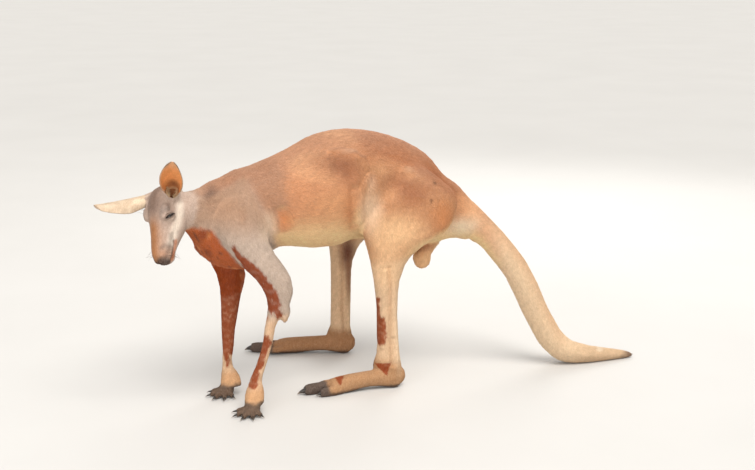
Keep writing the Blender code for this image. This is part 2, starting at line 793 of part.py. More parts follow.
HEAD_WALL = (on_head(0.030, -0.070), OUT)
TAIL_WALL = ((0.286, 0.034, 0.546), (0.86, 0.02, -0.50))
NECK_WALL = ((-0.578, -0.332, 0.645), (-0.92, -0.35, 0.18))
CHEST_WALL = ((-0.345, -0.205, 0.640), (-0.90, -0.42, 0.0))
BELLY_WALL = ((-0.068, -0.050, 0.680), (1.0, 0.0, 0.0))
ARM_WALLS = {
    "left": [((-0.465, -0.318, 0.600), (0.50, -0.866, 0.0)),
             ((-0.345, -0.350, 0.600), (-0.90, -0.20, -0.42))],
    "right": [((-0.545, -0.220, 0.600), (-0.50, 0.866, -0.30)),
              ((-0.466, -0.150, 0.580), (-0.90, -0.30, -0.16))],
}
RUMP_WALL = ((0.255, 0.0, 0.550), (-1.0, 0.0, 0.25))
LEG_WALLS = {
    "left": [((0.050, -0.080, 0.550), (0.22, -0.90, -0.27)), BELLY_WALL, RUMP_WALL],
    "right": [((-0.050, 0.070, 0.550), (-0.184, 0.92, -0.364)), RUMP_WALL],
}
SCROTUM_WALLS = [((0.160, 0.020, 0.438), (0.15, 0.0, -1.0)),
                 ((0.100, 0.020, 0.420), (1.0, 0.0, 0.0)), ((0.225, 0.020, 0.420), (-1.0, 0.0, 0.0))]

# A limb is then cut across: a point, the direction along the limb and half the cut's size
TAIL_CUTS = [
    ((0.465, 0.041, 0.394), (0.61, 0.0, -0.79), 0.08),
    ((0.578, 0.047, 0.184), (0.45, 0.01, -0.89), 0.08),
    ((0.716, 0.061, 0.040), (0.96, 0.13, -0.22), 0.08),
]
KNEE_CUTS = {
    "left": ((0.040, -0.170, 0.456), (0.22, 0.0, -1.0), 0.20),
    "right": ((-0.112, 0.160, 0.445), (0.22, 0.0, -1.0), 0.20),
}
ANKLE_CUTS = {
    "left": ((0.034, -0.183, 0.092), (-0.20, 0.0, -1.0), 0.08),
    "right": ((-0.142, 0.172, 0.090), (-0.20, 0.0, -1.0), 0.08),
}
ELBOW_CUTS = {
    "left": ((-0.326, -0.386, 0.318), (0.16, 0.0, -1.0), 0.06),
    "right": ((-0.493, -0.222, 0.345), (0.06, 0.0, -1.0), 0.06),
}
WRIST_CUTS = {
    "left": ((-0.395, -0.412, 0.080), (0.15, 0.0, -1.0), 0.05),
    "right": ((-0.505, -0.251, 0.080), (0.05, 0.0, -1.0), 0.05),
}


def cross_cut(cut):
    point, along, half = cut
    up = AHEAD if abs(along[2]) > 0.9 else UP
    return slab(point, along, half, half, up)


def floor_box():
    return box("floor", (-1.5, -1.0, -0.2), (1.5, 1.0, 0.0))


UPPER_ARM_SEEDS = {"left": (-0.385, -0.367, 0.505), "right": (-0.515, -0.196, 0.470)}
FOREARM_SEEDS = {"left": (-0.358, -0.398, 0.224), "right": (-0.503, -0.236, 0.225)}
THIGH_SEEDS = {"left": (0.090, -0.160, 0.560), "right": (-0.030, 0.160, 0.560)}
SHANK_SEEDS = {"left": (0.032, -0.178, 0.300), "right": (-0.136, 0.168, 0.250)}
TAIL_SEEDS = {
    "tail_1": (0.380, 0.039, 0.492),
    "tail_2": (0.530, 0.044, 0.286),
    "tail_3": (0.640, 0.052, 0.086),
    "tail_4": (0.800, 0.080, 0.025),
}

# The body

form = bmesh.new()
head_forms(form)
trunk_forms(form)
limb_forms(form)
for foot in (LEFT_FOOT, RIGHT_FOOT):
    foot_forms(form, foot)
for hand in (LEFT_HAND, RIGHT_HAND):
    hand_forms(form, hand)
flesh = melt(finish_form(form, "flesh"), BODY_GRAIN, 4, BODY_FACES)
boolean(flesh, [floor_box()], "DIFFERENCE")
drop(part_off(flesh, [HEAD_WALL, ((-0.60, -0.36, 0.585), UP)]))

for side in ("left", "right"):
    arm = part_off(flesh, ARM_WALLS[side])
    boolean(arm, [cross_cut(ELBOW_CUTS[side]), cross_cut(WRIST_CUTS[side])], "DIFFERENCE")
    share_out(arm, {"upper_arm_" + side: UPPER_ARM_SEEDS[side], "forearm_" + side: FOREARM_SEEDS[side]})
    leg = part_off(flesh, LEG_WALLS[side])
    boolean(leg, [cross_cut(KNEE_CUTS[side]), cross_cut(ANKLE_CUTS[side])], "DIFFERENCE")
    share_out(leg, {"thigh_" + side: THIGH_SEEDS[side], "shank_" + side: SHANK_SEEDS[side]})

tail = part_off(flesh, [TAIL_WALL])
boolean(tail, [cross_cut(cut) for cut in TAIL_CUTS], "DIFFERENCE")
share_out(tail, TAIL_SEEDS)
share_out(part_off(flesh, SCROTUM_WALLS), {"scrotum": (0.158, 0.020, 0.405)})
share_out(part_off(flesh, [NECK_WALL]), {"neck": (-0.604, -0.354, 0.660)})
share_out(part_off(flesh, [CHEST_WALL]), {"chest": (-0.450, -0.250, 0.600)})
share_out(part_off(flesh, [BELLY_WALL]), {"pelvis": (0.080, 0.000, 0.640)})
share_out(flesh, {"belly": (-0.200, -0.120, 0.670)})

# The head

form = bmesh.new()
head_forms(form)
loft(form, TRUNK[:6], 20, 40, UP, square=2.15, calm=8)
head = melt(finish_form(form, "head_flesh"), FINE_GRAIN, 7, HEAD_FACES)
head = boolean(head, [ball("lids", hand, EYE_RADIUS + GAP + LID_THICK) for hand in (1.0, -1.0)], "UNION")
cutters = [slab(HEAD_WALL[0], HEAD_WALL[1], 0.09, 0.105), mouth_cutter()]
for hand in (1.0, -1.0):
    root, way, cup, across = ear_frame(hand)
    cutters.append(ball("socket", hand, EYE_RADIUS + GAP))
    cutters.append(slit(hand))
    cutters.append(nostril(hand))
    cutters.append(end_box(root + way * EAR_SEAM, way, 0.03, 0.03, 0.03, cup))
share_out(boolean(head, cutters, "DIFFERENCE"), {"head": on_head(0.12, 0.0)})

for side, hand in (("left", 1.0), ("right", -1.0)):
    keep(ball("eye", hand, EYE_RADIUS), "eye_" + side)
    ear("ear_" + side, hand)

# The feet

TOE_SEAM = 0.720
CLAWS = {
    "toe_big": [("claw_big", 0.0, 0.0146, 0.0105, 0.0086, 0.031, 0.0100)],
    "toe_outer": [("claw_outer", 0.0, 0.0125, 0.0066, 0.0052, 0.018, 0.0050)],
    "toe_inner": [("claw_inner_1", -0.0044, 0.0162, 0.0040, 0.0026, 0.014, 0.0050),
                  ("claw_inner_2", 0.0044, 0.0162, 0.0040, 0.0026, 0.014, 0.0050)],
}


def foot_parts(foot, shank_rows):
    form = bmesh.new()
    foot_forms(form, foot)
    loft(form, shank_rows, 14, 24, AHEAD, plane=UP, square=2.1)
    flesh = melt(finish_form(form, "foot"), FINE_GRAIN, 3, FOOT_FACES)
    cutters = [
        cross_cut(ANKLE_CUTS[foot.side]),
        slab(foot.at(TOE_SEAM, 0.0, 0.02), foot.fore, 0.07, 0.05),
        floor_box(),
    ]
    seeds = {"foot_" + foot.side: foot.at(0.40, 0.0, 0.028)}
    for toe, rows in TOE_ROWS.items():
        end = TOE_ENDS[toe]
        table = np.array(rows)
        out = float(np.interp(end, table[:, 0], table[:, 1]))
        cutters.append(end_box(foot.at(end, out, 0.02), foot.fore, 0.03, 0.014, 0.04))
        middle = (TOE_SEAM + end) / 2.0
        inside = [float(np.interp(middle, table[:, 0], table[:, k])) for k in (1, 2)]
        seeds[toe + "_" + foot.side] = foot.at(middle, inside[0], inside[1])
        for name, aside, up, depth, half, length, droop in CLAWS[toe]:
            root = foot.at(end, out + aside, up) + foot.fore * GAP
            claw(name + "_" + foot.side, root, foot.fore, length, depth, half, droop)
    share_out(boolean(flesh, cutters, "DIFFERENCE"), seeds)


foot_parts(LEFT_FOOT, SHANK_LEFT[3:])
foot_parts(RIGHT_FOOT, SHANK_RIGHT[3:])

# The hands

FINGER_CUT = 0.97
FINGER_CLAW = (0.0104, 0.0044, 0.0034, 0.021, 0.0058)


def hand_parts(hand, forearm_rows):
    form = bmesh.new()
    hand_forms(form, hand)
    loft(form, forearm_rows, 14, 24, AHEAD, plane=UP, square=2.1)
    flesh = melt(finish_form(form, "hand"), FINE_GRAIN, 2, HAND_FACES)
    cutters = [cross_cut(WRIST_CUTS[hand.side]), floor_box()]
    up, depth, half, length, droop = FINGER_CLAW
    for i, (angle, reach) in enumerate(zip(FINGER_SPREAD, FINGER_REACH)):
        way = hand.way(angle)
        tip = hand.palm + way * (reach * FINGER_CUT) + Vector((0.0, 0.0, up))
        cutters.append(end_box(tip, way, 0.02, 0.0095, 0.03))
        claw("claw_finger_%d_%s" % (i + 1, hand.side), tip + way * GAP, way, length, depth, half, droop, 8, 3)
    share_out(boolean(flesh, cutters, "DIFFERENCE"), {"hand_" + hand.side: hand.palm + Vector((0, 0, 0.02))})


hand_parts(LEFT_HAND, FOREARM_LEFT[4:])
hand_parts(RIGHT_HAND, FOREARM_RIGHT[4:])

# Finishes: red, green and blue, then roughness, by the start of a part's name

COATS = [
    ("claw", (0.030, 0.024, 0.021), 0.45),
    ("toe", (0.055, 0.042, 0.036), 0.85),
    ("eye", (0.018, 0.010, 0.007), 0.12),
    ("ear", (0.560, 0.440, 0.350), 0.90),
    ("head", (0.560, 0.500, 0.470), 0.90),
    ("neck", (0.540, 0.470, 0.430), 0.90),
    ("hand", (0.120, 0.085, 0.070), 0.90),
    ("forearm", (0.330, 0.170, 0.110), 0.90),
    ("upper_arm", (0.560, 0.450, 0.380), 0.90),
    ("shank", (0.640, 0.500, 0.380), 0.90),
    ("foot", (0.600, 0.450, 0.330), 0.90),
    ("thigh", (0.590, 0.360, 0.230), 0.90),
    ("scrotum", (0.600, 0.400, 0.280), 0.90),
    ("tail_4", (0.450, 0.340, 0.260), 0.90),
    ("tail", (0.680, 0.500, 0.380), 0.90),
    ("", (0.560, 0.330, 0.220), 0.90),
]

for part in kept.objects:
    _, colour, rough = next(row for row in COATS if part.name.startswith(row[0]))
    finish = bpy.data.materials.new(part.name + "_coat")
    finish.use_nodes = True
    shader = finish.node_tree.nodes["Principled BSDF"]
    shader.inputs["Base Color"].default_value = (*colour, 1.0)
    shader.inputs["Roughness"].default_value = rough
    shader.inputs["Metallic"].default_value = 0.0
    part.data.materials.clear()
    part.data.materials.append(finish)

# The origin goes under the middle of the whole animal, on the floor

spots = [v.co for part in kept.objects for v in part.data.vertices]
low = [min(p[k] for p in spots) for k in range(3)]
high = [max(p[k] for p in spots) for k in range(3)]
move = Matrix.Translation((-(low[0] + high[0]) / 2.0, -(low[1] + high[1]) / 2.0, -low[2]))
for part in kept.objects:
    part.data.transform(move)
    part.data.update()

for thing in list(helpers.objects):
    drop(thing)

print("moved", tuple(round(v, 4) for v in move.to_translation()))
print("size", [round(high[k] - low[k], 4) for k in range(3)])
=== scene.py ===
# %% [markdown]
# # A red kangaroo, life size
# An adult male stands on its two long hind feet and its tail, with its hands set down in front.
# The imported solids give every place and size, and this lesson dresses them: one skin without seams,
# a short coat of many small tufts, wet dark eyes and horn claws.

# %% Open the frame
import json
import math
import bpy
import bmesh
import numpy as np
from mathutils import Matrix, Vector, kdtree

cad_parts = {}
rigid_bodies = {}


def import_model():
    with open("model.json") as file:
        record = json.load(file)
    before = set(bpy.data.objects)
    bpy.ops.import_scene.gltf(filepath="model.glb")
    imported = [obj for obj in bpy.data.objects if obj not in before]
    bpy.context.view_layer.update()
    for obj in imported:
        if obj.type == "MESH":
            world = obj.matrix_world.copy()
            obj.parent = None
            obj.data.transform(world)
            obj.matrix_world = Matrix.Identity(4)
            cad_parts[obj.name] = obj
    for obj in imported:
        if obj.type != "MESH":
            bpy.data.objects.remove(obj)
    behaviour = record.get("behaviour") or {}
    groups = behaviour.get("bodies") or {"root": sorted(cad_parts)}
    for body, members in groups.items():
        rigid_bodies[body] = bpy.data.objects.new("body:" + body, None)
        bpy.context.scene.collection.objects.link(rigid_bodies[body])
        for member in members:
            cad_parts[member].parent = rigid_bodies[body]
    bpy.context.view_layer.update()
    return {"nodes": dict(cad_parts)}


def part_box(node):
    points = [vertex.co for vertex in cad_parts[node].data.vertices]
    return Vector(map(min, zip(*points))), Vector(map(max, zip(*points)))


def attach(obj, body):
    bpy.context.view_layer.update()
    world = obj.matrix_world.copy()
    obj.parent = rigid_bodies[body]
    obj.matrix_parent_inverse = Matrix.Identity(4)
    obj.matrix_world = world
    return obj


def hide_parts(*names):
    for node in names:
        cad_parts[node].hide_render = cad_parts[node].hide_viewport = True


for thing in list(bpy.data.objects):
    bpy.data.objects.remove(thing)
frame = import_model()

# %% [markdown]
# The head is turned, tucked and rolled, so its details are easiest to place in the head's own
# directions: down the face, out of the bridge of the nose, and to the animal's left.
# The solids were moved to stand at the middle of their box, and the left eye tells by how much.

# %% The head's own directions
HEAD_TURN, HEAD_TUCK, HEAD_ROLL = (math.radians(a) for a in (43.0, 15.0, 11.0))
POLL = np.array((-0.664, -0.385, 0.722))
EYE_AT = (0.0765, 0.021, 0.0475)
EYE_RADIUS = 0.0165

hang = np.array((0.0, 0.0, -1.0))
level_out = np.array((-math.sin(HEAD_TURN), -math.cos(HEAD_TURN), 0.0))
level_side = np.cross(level_out, hang)
SIDE = level_side * math.cos(HEAD_ROLL) - hang * math.sin(HEAD_ROLL)
DOWN = hang * math.cos(HEAD_ROLL) + level_side * math.sin(HEAD_ROLL)
DOWN = DOWN * math.cos(HEAD_TUCK) + level_out * math.sin(HEAD_TUCK)
OUT = np.cross(DOWN, SIDE)
if OUT @ level_out < 0.0:
    OUT = -OUT


def unit(way):
    """The same direction with length one, for one vector or a table of them."""
    way = np.asarray(way, float)
    return way / np.maximum(np.linalg.norm(way, axis=-1, keepdims=True), 1e-9)


def on_head(down, out, side):
    """A place on the head, in metres from the poll."""
    return POLL + DOWN * down + OUT * out + SIDE * side


SIDES = {1.0: "left", -1.0: "right"}
eye_low, eye_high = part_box("eye_left")
SHIFT = np.array((eye_low + eye_high) / 2.0) - on_head(*EYE_AT)
print("the solids stand", SHIFT.round(4), "from the places in this lesson")

# %% [markdown]
# The camera stands a little over four metres away and one and a half metres up, and looks
# slightly down on the animal's left side. The floor is plain and pale, and wide soft lights
# leave soft shadows.

# %% Camera, floor and light
PICTURE = (755, 470)
FOCUS = 1233.0        # focal length in pixels of the picture
CAMERA_AT = np.array((0.0, -4.2, 1.516))
LOOK_DOWN = math.radians(13.7)

lens = bpy.data.cameras.new("camera")
lens.sensor_width = 36.0
lens.lens = 36.0 * FOCUS / PICTURE[0]
camera = bpy.data.objects.new("camera", lens)
camera.location = CAMERA_AT + SHIFT
camera.rotation_euler = (math.pi / 2.0 - LOOK_DOWN, 0.0, 0.0)
bpy.context.scene.collection.objects.link(camera)
bpy.context.scene.camera = camera


def soft_light(name, place, aim, size, power, colour):
    """A round lamp of a size in metres, turned to its aim."""
    lamp = bpy.data.lights.new(name, "AREA")
    lamp.shape = "DISK"
    lamp.size = size
    lamp.energy = power
    lamp.color = colour
    holder = bpy.data.objects.new(name, lamp)
    holder.location = place
    holder.rotation_euler = (Vector(aim) - Vector(place)).to_track_quat("-Z", "Y").to_euler()
    bpy.context.scene.collection.objects.link(holder)


CHEST_HIGH = (0.0, 0.0, 0.5)
sky = bpy.data.lights.new("light_sky", "SUN")
sky.energy = 2.6
sky.angle = math.radians(38.0)
sky.color = (1.0, 0.965, 0.91)
sky_holder = bpy.data.objects.new("light_sky", sky)
sky_holder.rotation_euler = Vector((0.45, -0.75, 1.6)).to_track_quat("Z", "Y").to_euler()
bpy.context.scene.collection.objects.link(sky_holder)
soft_light("light_front", (-2.6, -3.0, 1.9), CHEST_HIGH, 2.4, 38.0, (0.97, 0.98, 1.0))
soft_light("light_low", (-0.2, -3.4, 0.5), (0.0, 0.0, 0.35), 2.0, 34.0, (1.0, 0.95, 0.88))
soft_light("light_behind", (1.2, 3.2, 2.6), CHEST_HIGH, 2.4, 55.0, (1.0, 0.98, 0.95))
world = bpy.data.worlds.new("studio")
world.use_nodes = True
world.node_tree.nodes["Background"].inputs["Color"].default_value = (0.93, 0.92, 0.90, 1.0)
world.node_tree.nodes["Background"].inputs["Strength"].default_value = 0.78
bpy.context.scene.world = world
bpy.context.scene.view_settings.view_transform = "Standard"

# %% [markdown]
# Shader nodes are tedious to wire by hand. A small class wraps a node's output, so that numbers can
# be worked with + - * in Python, and one method makes any other node.

# %% A small class for shader maths
class Wire:
    """An output of a node that can be used in an expression."""

    def __init__(self, finish, socket):
        self.finish = finish
        self.socket = socket

    def maths(self, operation, first, second):
        """A Math node between two wires or numbers."""
        return self.finish.node("ShaderNodeMath", {"operation": operation}, {0: first, 1: second})

    def __add__(self, other):
        return self.maths("ADD", self, other)

    def __sub__(self, other):
        return self.maths("SUBTRACT", self, other)

    def __rsub__(self, other):
        return self.maths("SUBTRACT", other, self)

    def __mul__(self, other):
        return self.maths("MULTIPLY", self, other)

    __radd__ = __add__
    __rmul__ = __mul__


class Finish:
    """A material, made node by node on its shader."""

    def __init__(self, name):
        self.material = bpy.data.materials.new(name)
        self.material.use_nodes = True
        self.tree = self.material.node_tree
        self.shader = self.tree.nodes["Principled BSDF"]

    def node(self, kind, settings=None, sockets=None, output=0):
        """A node with its settings, then the values or links of its sockets."""
        made = self.tree.nodes.new(kind)
        for key, value in (settings or {}).items():
            if key == "stops":
                ramp = made.color_ramp.elements
                while len(ramp) < len(value):
                    ramp.new(0.5)
                for stop, (place, colour) in zip(ramp, value):
                    stop.position = place
                    stop.color = (*colour, 1.0)
            else:
                setattr(made, key, value)
        for key, value in (sockets or {}).items():
            self.feed(made.inputs[key], value)
        return Wire(self, made.outputs[output])

    def feed(self, socket, value):
        """Links a wire to a socket, or sets the socket to a number or a colour."""
        if isinstance(value, Wire):
            self.tree.links.new(value.socket, socket)
        elif socket.type == "RGBA":
            socket.default_value = (*value, 1.0)
        else:
            socket.default_value = value

    def mix(self, share, first, second):
        """Two colours mixed by a share from 0 to 1."""
        return self.node("ShaderNodeMix", {"data_type": "RGBA"}, {0: share, 6: first, 7: second}, 2)

    def tint(self, first, second):
        """Two colours multiplied."""
        settings = {"data_type": "RGBA", "blend_type": "MULTIPLY"}
        return self.node("ShaderNodeMix", settings, {0: 1.0, 6: first, 7: second}, 2)

    def noise(self, scale, detail=3.0, roughness=0.55, stretch=None):
        """Cloudy noise fixed to the surface, so many lumps to a metre."""
        at = self.node("ShaderNodeTexCoord", output="Object")
        if stretch:
            at = self.node("ShaderNodeVectorMath", {"operation": "MULTIPLY"}, {0: at, 1: stretch})
        sockets = {"Vector": at, "Scale": scale, "Detail": detail, "Roughness": roughness}
        return self.node("ShaderNodeTexNoise", sockets=sockets)

    def carried(self, name, output="Fac"):
        """What the mesh itself carries under this name at each of its points."""
        return self.node("ShaderNodeAttribute", {"attribute_name": name}, output=output)

    def between(self, value, low, high, first=0.0, last=1.0):
        """A number that runs from first to last as the value goes from low to high."""
        sockets = {0: value, 1: low, 2: high, 3: first, 4: last}
        return self.node("ShaderNodeMapRange", {"interpolation_type": "SMOOTHSTEP"}, sockets)

    def bump(self, height, depth, strength=1.0):
        """Fine relief of a depth in metres, for the Normal socket."""
        sockets = {"Height": height, "Distance": depth, "Strength": strength}
        return self.node("ShaderNodeBump", sockets=sockets)

    def set(self, **values):
        """Feeds the shader's own sockets by name."""
        for key, value in values.items():
            self.feed(self.shader.inputs[key.replace("_", " ")], value)


# %% [markdown]
# The floor is painted board, so it is nearly white and carries only a very faint cloud.

# %% The floor
FLOOR_SIZE = 60.0
floor_mesh = bpy.data.meshes.new("floor")
half = FLOOR_SIZE / 2.0
floor_corners = [(-half, -half, 0), (half, -half, 0), (half, half, 0), (-half, half, 0)]
floor_mesh.from_pydata(floor_corners, [], [(0, 1, 2, 3)])
floor = bpy.data.objects.new("floor", floor_mesh)
bpy.context.scene.collection.objects.link(floor)
board = Finish("painted_board")
board.set(Base_Color=board.mix(board.noise(1.4), (0.54, 0.53, 0.515), (0.59, 0.58, 0.565)), Roughness=0.8)
floor_mesh.materials.append(board.material)

# %% [markdown]
# ## The skin
# The solids of the flesh are faceted and lie a hair's breadth apart. Grown by a little over a
# millimetre they touch, and a voxel remesh melts them into one closed skin. A few rounds of
# smoothing, once in and once slightly out, take the facets away without shrinking the fingers.

# %% Melt the flesh into one skin
NOT_FLESH = ("eye_", "claw_", "ear_")
FLESH = [name for name in sorted(frame["nodes"]) if not name.startswith(NOT_FLESH)]
GROW = 0.0012         # how far each solid is grown before they are melted
GRAIN = 0.0042        # size of a voxel
JOIN = 1e-5           # corners closer than this are one


def welded(name):
    """A solid of the frame with its corners joined."""
    form = bmesh.new()
    form.from_mesh(frame["nodes"][name].data)
    bmesh.ops.remove_doubles(form, verts=form.verts, dist=JOIN)
    form.normal_update()
    return form


def melt(names):
    """One closed mesh round all the named solids."""
    whole = bmesh.new()
    for name in names:
        form = welded(name)
        for corner in form.verts:
            corner.co += corner.normal * GROW - Vector(SHIFT)
        part = bpy.data.meshes.new("part")
        form.to_mesh(part)
        form.free()
        whole.from_mesh(part)
        bpy.data.meshes.remove(part)
    mesh = bpy.data.meshes.new("flesh")
    whole.to_mesh(mesh)
    holder = bpy.data.objects.new("flesh", mesh)
    bpy.context.scene.collection.objects.link(holder)
    voxels = holder.modifiers.new("voxels", "REMESH")
    voxels.mode = "VOXEL"
    voxels.voxel_size = GRAIN
    view = bpy.context.evaluated_depsgraph_get()
    melted = bpy.data.meshes.new_from_object(holder.evaluated_get(view))
    bpy.data.objects.remove(holder)
    return melted


def points_of(mesh):
    table = np.empty(len(mesh.vertices) * 3)
    mesh.vertices.foreach_get("co", table)
    return table.reshape(-1, 3)


def edges_of(mesh):
    table = np.empty(len(mesh.edges) * 2, np.int32)
    mesh.edges.foreach_get("vertices", table)
    return table.reshape(-1, 2)


def normals_of(mesh, points):
    mesh.vertices.foreach_set("co", points.ravel())
    mesh.update()
    table = np.empty(len(mesh.vertices) * 3)
    mesh.vertex_normals.foreach_get("vector", table)
    return table.reshape(-1, 3)


def neighbour_mean(values, edges):
    """For each point, the mean of a value over the points joined to it."""
    first, second = edges[:, 0], edges[:, 1]
    count = len(values)
    share = np.maximum(np.bincount(first, minlength=count) + np.bincount(second, minlength=count), 1)
    mean = np.empty_like(values)
    for k in range(values.shape[1]):
        onward = np.bincount(first, values[second, k], count)
        mean[:, k] = onward + np.bincount(second, values[first, k], count)
    return mean / share[:, None]


SMOOTH_IN, SMOOTH_OUT = 0.50, 0.53


def relax(points, edges, rounds):
    """Smooths in and slightly out again, so that thin parts keep their size."""
    for _ in range(rounds):
        points = points + SMOOTH_IN * (neighbour_mean(points, edges) - points)
        points = points - SMOOTH_OUT * (neighbour_mean(points, edges) - points)
    return points


def largest_piece(mesh):
    """Deletes every loose scrap but the largest."""
    edges = edges_of(mesh)
    label = np.arange(len(mesh.vertices))
    while True:
        low = np.minimum(label[edges[:, 0]], label[edges[:, 1]])
        new = label.copy()
        np.minimum.at(new, edges[:, 0], low)
        np.minimum.at(new, edges[:, 1], low)
        new = new[new]
        if (new == label).all():
            break
        label = new
    most = np.bincount(label).argmax()
    form = bmesh.new()
    form.from_mesh(mesh)
    form.verts.ensure_lookup_table()
    bmesh.ops.delete(form, geom=[form.verts[i] for i in np.flatnonzero(label != most)], context="VERTS")
    form.to_mesh(mesh)
    form.free()


skin_mesh = melt(FLESH)
largest_piece(skin_mesh)
points = relax(points_of(skin_mesh), edges_of(skin_mesh), 16)
skin_mesh.vertices.foreach_set("co", points.ravel())
print("skin:", len(skin_mesh.polygons), "faces")

# %% [markdown]
# The face, the hands and the feet need a finer net than the flanks. Faces there are cut in four,
# and round the eyes and the tip of the nose once more.

# %% A finer net where the detail is
FINE_NODES = ("head", "foot_", "toe_", "hand_")
FINEST_REACH = 0.022
NOSE_TIP = (0.222, 0.012, 0.0)


def begins(names, *starts):
    """Which of the names begin with one of the starts."""
    return np.any([np.char.startswith(names, start) for start in starts], axis=0)


def nearest_nodes(points):
    """The name of the solid nearest to each point."""
    names, spots = [], []
    for name in FLESH:
        form = welded(name)
        for face in form.faces:
            spots.append(face.calc_center_median() - Vector(SHIFT))
            names.append(name)
        form.free()
    tree = kdtree.KDTree(len(spots))
    for i, spot in enumerate(spots):
        tree.insert(spot, i)
    tree.balance()
    return np.array([names[tree.find(p)[1]] for p in points])


def cut_in_four(mesh, chosen):
    """Cuts the faces whose points are all chosen into four."""
    form = bmesh.new()
    form.from_mesh(mesh)
    faces = [face for face in form.faces if all(chosen[v.index] for v in face.verts)]
    edges = list({edge for face in faces for edge in face.edges})
    bmesh.ops.subdivide_edges(form, edges=edges, cuts=1, use_grid_fill=True)
    bmesh.ops.triangulate(form, faces=[face for face in form.faces if len(face.verts) > 4])
    form.to_mesh(mesh)
    form.free()


label = nearest_nodes(points_of(skin_mesh))
cut_in_four(skin_mesh, begins(label, *FINE_NODES))
points = points_of(skin_mesh)
finest = [on_head(EYE_AT[0], EYE_AT[1] + 0.009, hand * (EYE_AT[2] + 0.012)) for hand in SIDES]
finest.append(on_head(*NOSE_TIP))
close = np.zeros(len(points), bool)
for spot in finest:
    close |= np.linalg.norm(points - spot, axis=1) < FINEST_REACH
cut_in_four(skin_mesh, close)
points = points_of(skin_mesh)
edges = edges_of(skin_mesh)
points = relax(points, edges, 6)
label = nearest_nodes(points)
print("skin with a finer face, hands and feet:", len(skin_mesh.polygons), "faces")

# %% [markdown]
# ## Modelling in the skin
# Folds, lids, lips and hollows are pushed in or out along the skin's own normals, each by a soft
# mask round a place or along a path. Such pushes keep the net whole, so no seam can open.

# %% Tools to push the skin
def soft(distance, reach):
    """One at no distance, falling smoothly to nothing at the reach."""
    return np.clip(1.0 - (distance / reach) ** 2, 0.0, 1.0) ** 2


def step(value, low, high):
    """Nothing below low and one above high, smoothly between."""
    t = np.clip((value - low) / (high - low), 0.0, 1.0)
    return t * t * (3.0 - 2.0 * t)


def to_path(points, path):
    """Distance of each point to a path of straight runs."""
    best = np.full(len(points), 9.0)
    path = np.asarray(path, float)
    for a, b in zip(path, path[1:]):
        run = b - a
        t = np.clip((points - a) @ run / (run @ run), 0.0, 1.0)
        best = np.minimum(best, np.linalg.norm(points - a - t[:, None] * run, axis=1))
    return best


def drawn_to_skin(path):
    """The path with each point moved to the nearest point of the skin."""
    path = np.asarray(path, float)
    return np.array([points[np.linalg.norm(points - p, axis=1).argmin()] for p in path])


def push(mask, height):
    """Moves the skin along its normals by a mask times a height."""
    global points
    points = points + normals * (mask * height)[:, None]


def settle():
    """Works the normals out again after some pushes."""
    global normals
    normals = normals_of(skin_mesh, points)


def wave(points, size, seed):
    """A smooth random number from about -1 to 1 at each point, with lumps of a size."""
    dice = np.random.default_rng(seed)
    total = np.zeros(len(points))
    for _ in range(9):
        way = unit(dice.normal(size=3)) * dice.uniform(0.6, 1.5) * math.pi / size
        total += np.sin(points @ way + dice.uniform(0.0, 2.0 * math.pi))
    return total / 4.0


normals = normals_of(skin_mesh, points)
COAT_DEPTH = {"head": 0.0010, "foot": 0.0009, "toe": 0.0006, "hand": 0.0006}
BODY_DEPTH = 0.0019   # how far the skin lies inside the solids, under the coat
depth = np.array([COAT_DEPTH.get(name.split("_")[0], BODY_DEPTH) for name in label])
for _ in range(30):
    depth = 0.5 * depth + 0.5 * neighbour_mean(depth[:, None], edges)[:, 0]
push(np.ones(len(points)), -(GROW + depth))
settle()

# %% [markdown]
# Where a thigh or an upper arm runs into the body, its solid leaves an edge. Under living skin the
# muscles there run into each other, so the edges are averaged away before anything is added.

# %% Ease the limbs into the body
TRUNK_MIDDLE = np.array((-0.116, -0.070, 0.0))
ACROSS_TRUNK = np.array((-0.39, 0.92, 0.0))
FAR_AHEAD = np.array((-0.10, -0.04, 0.0))
EASE_REACH, EASE_ROUNDS = 0.050, 60


def far_side(path):
    """The path mirrored across the trunk and moved ahead with the far leg."""
    path = np.asarray(path, float)
    away = (path - TRUNK_MIDDLE) @ ACROSS_TRUNK
    return path - 2.0 * away[:, None] * ACROSS_TRUNK + FAR_AHEAD


def ease(path, reach, rounds):
    """Averages the skin round a path, most in the middle."""
    global points
    mask = soft(to_path(points, drawn_to_skin(path)), reach)[:, None]
    near = np.flatnonzero(mask[:, 0] > 0.0)
    inside = np.zeros(len(points), bool)
    inside[near] = True
    some = edges[inside[edges].any(axis=1)]
    for _ in range(rounds):
        points = points + 0.5 * mask * (neighbour_mean(points, some) - points) * (mask > 0.0)


THIGH_EDGE = [(0.138, -0.092, 0.754), (0.104, -0.109, 0.750), (0.083, -0.128, 0.730),
              (0.059, -0.144, 0.706), (0.026, -0.161, 0.668), (-0.008, -0.173, 0.626),
              (-0.031, -0.173, 0.585)]
THIGH_BACK = [(0.222, -0.060, 0.703), (0.252, -0.121, 0.677), (0.265, -0.140, 0.630),
              (0.244, -0.164, 0.583), (0.197, -0.191, 0.548)]
ARM_BACK = [(-0.415, -0.335, 0.700), (-0.385, -0.345, 0.650), (-0.370, -0.340, 0.600)]
for path in (THIGH_EDGE, THIGH_BACK, ARM_BACK):
    ease(path, EASE_REACH, EASE_ROUNDS)
    ease(far_side(path), EASE_REACH, EASE_ROUNDS)
settle()
print("edges eased on both sides")

# %% [markdown]
# The flank shows the edge of the hip bone with a hollow under it, the fold of skin from belly to
# knee, and the knob of the hip. The same forms are mirrored to the far side, where the leg stands
# further ahead.

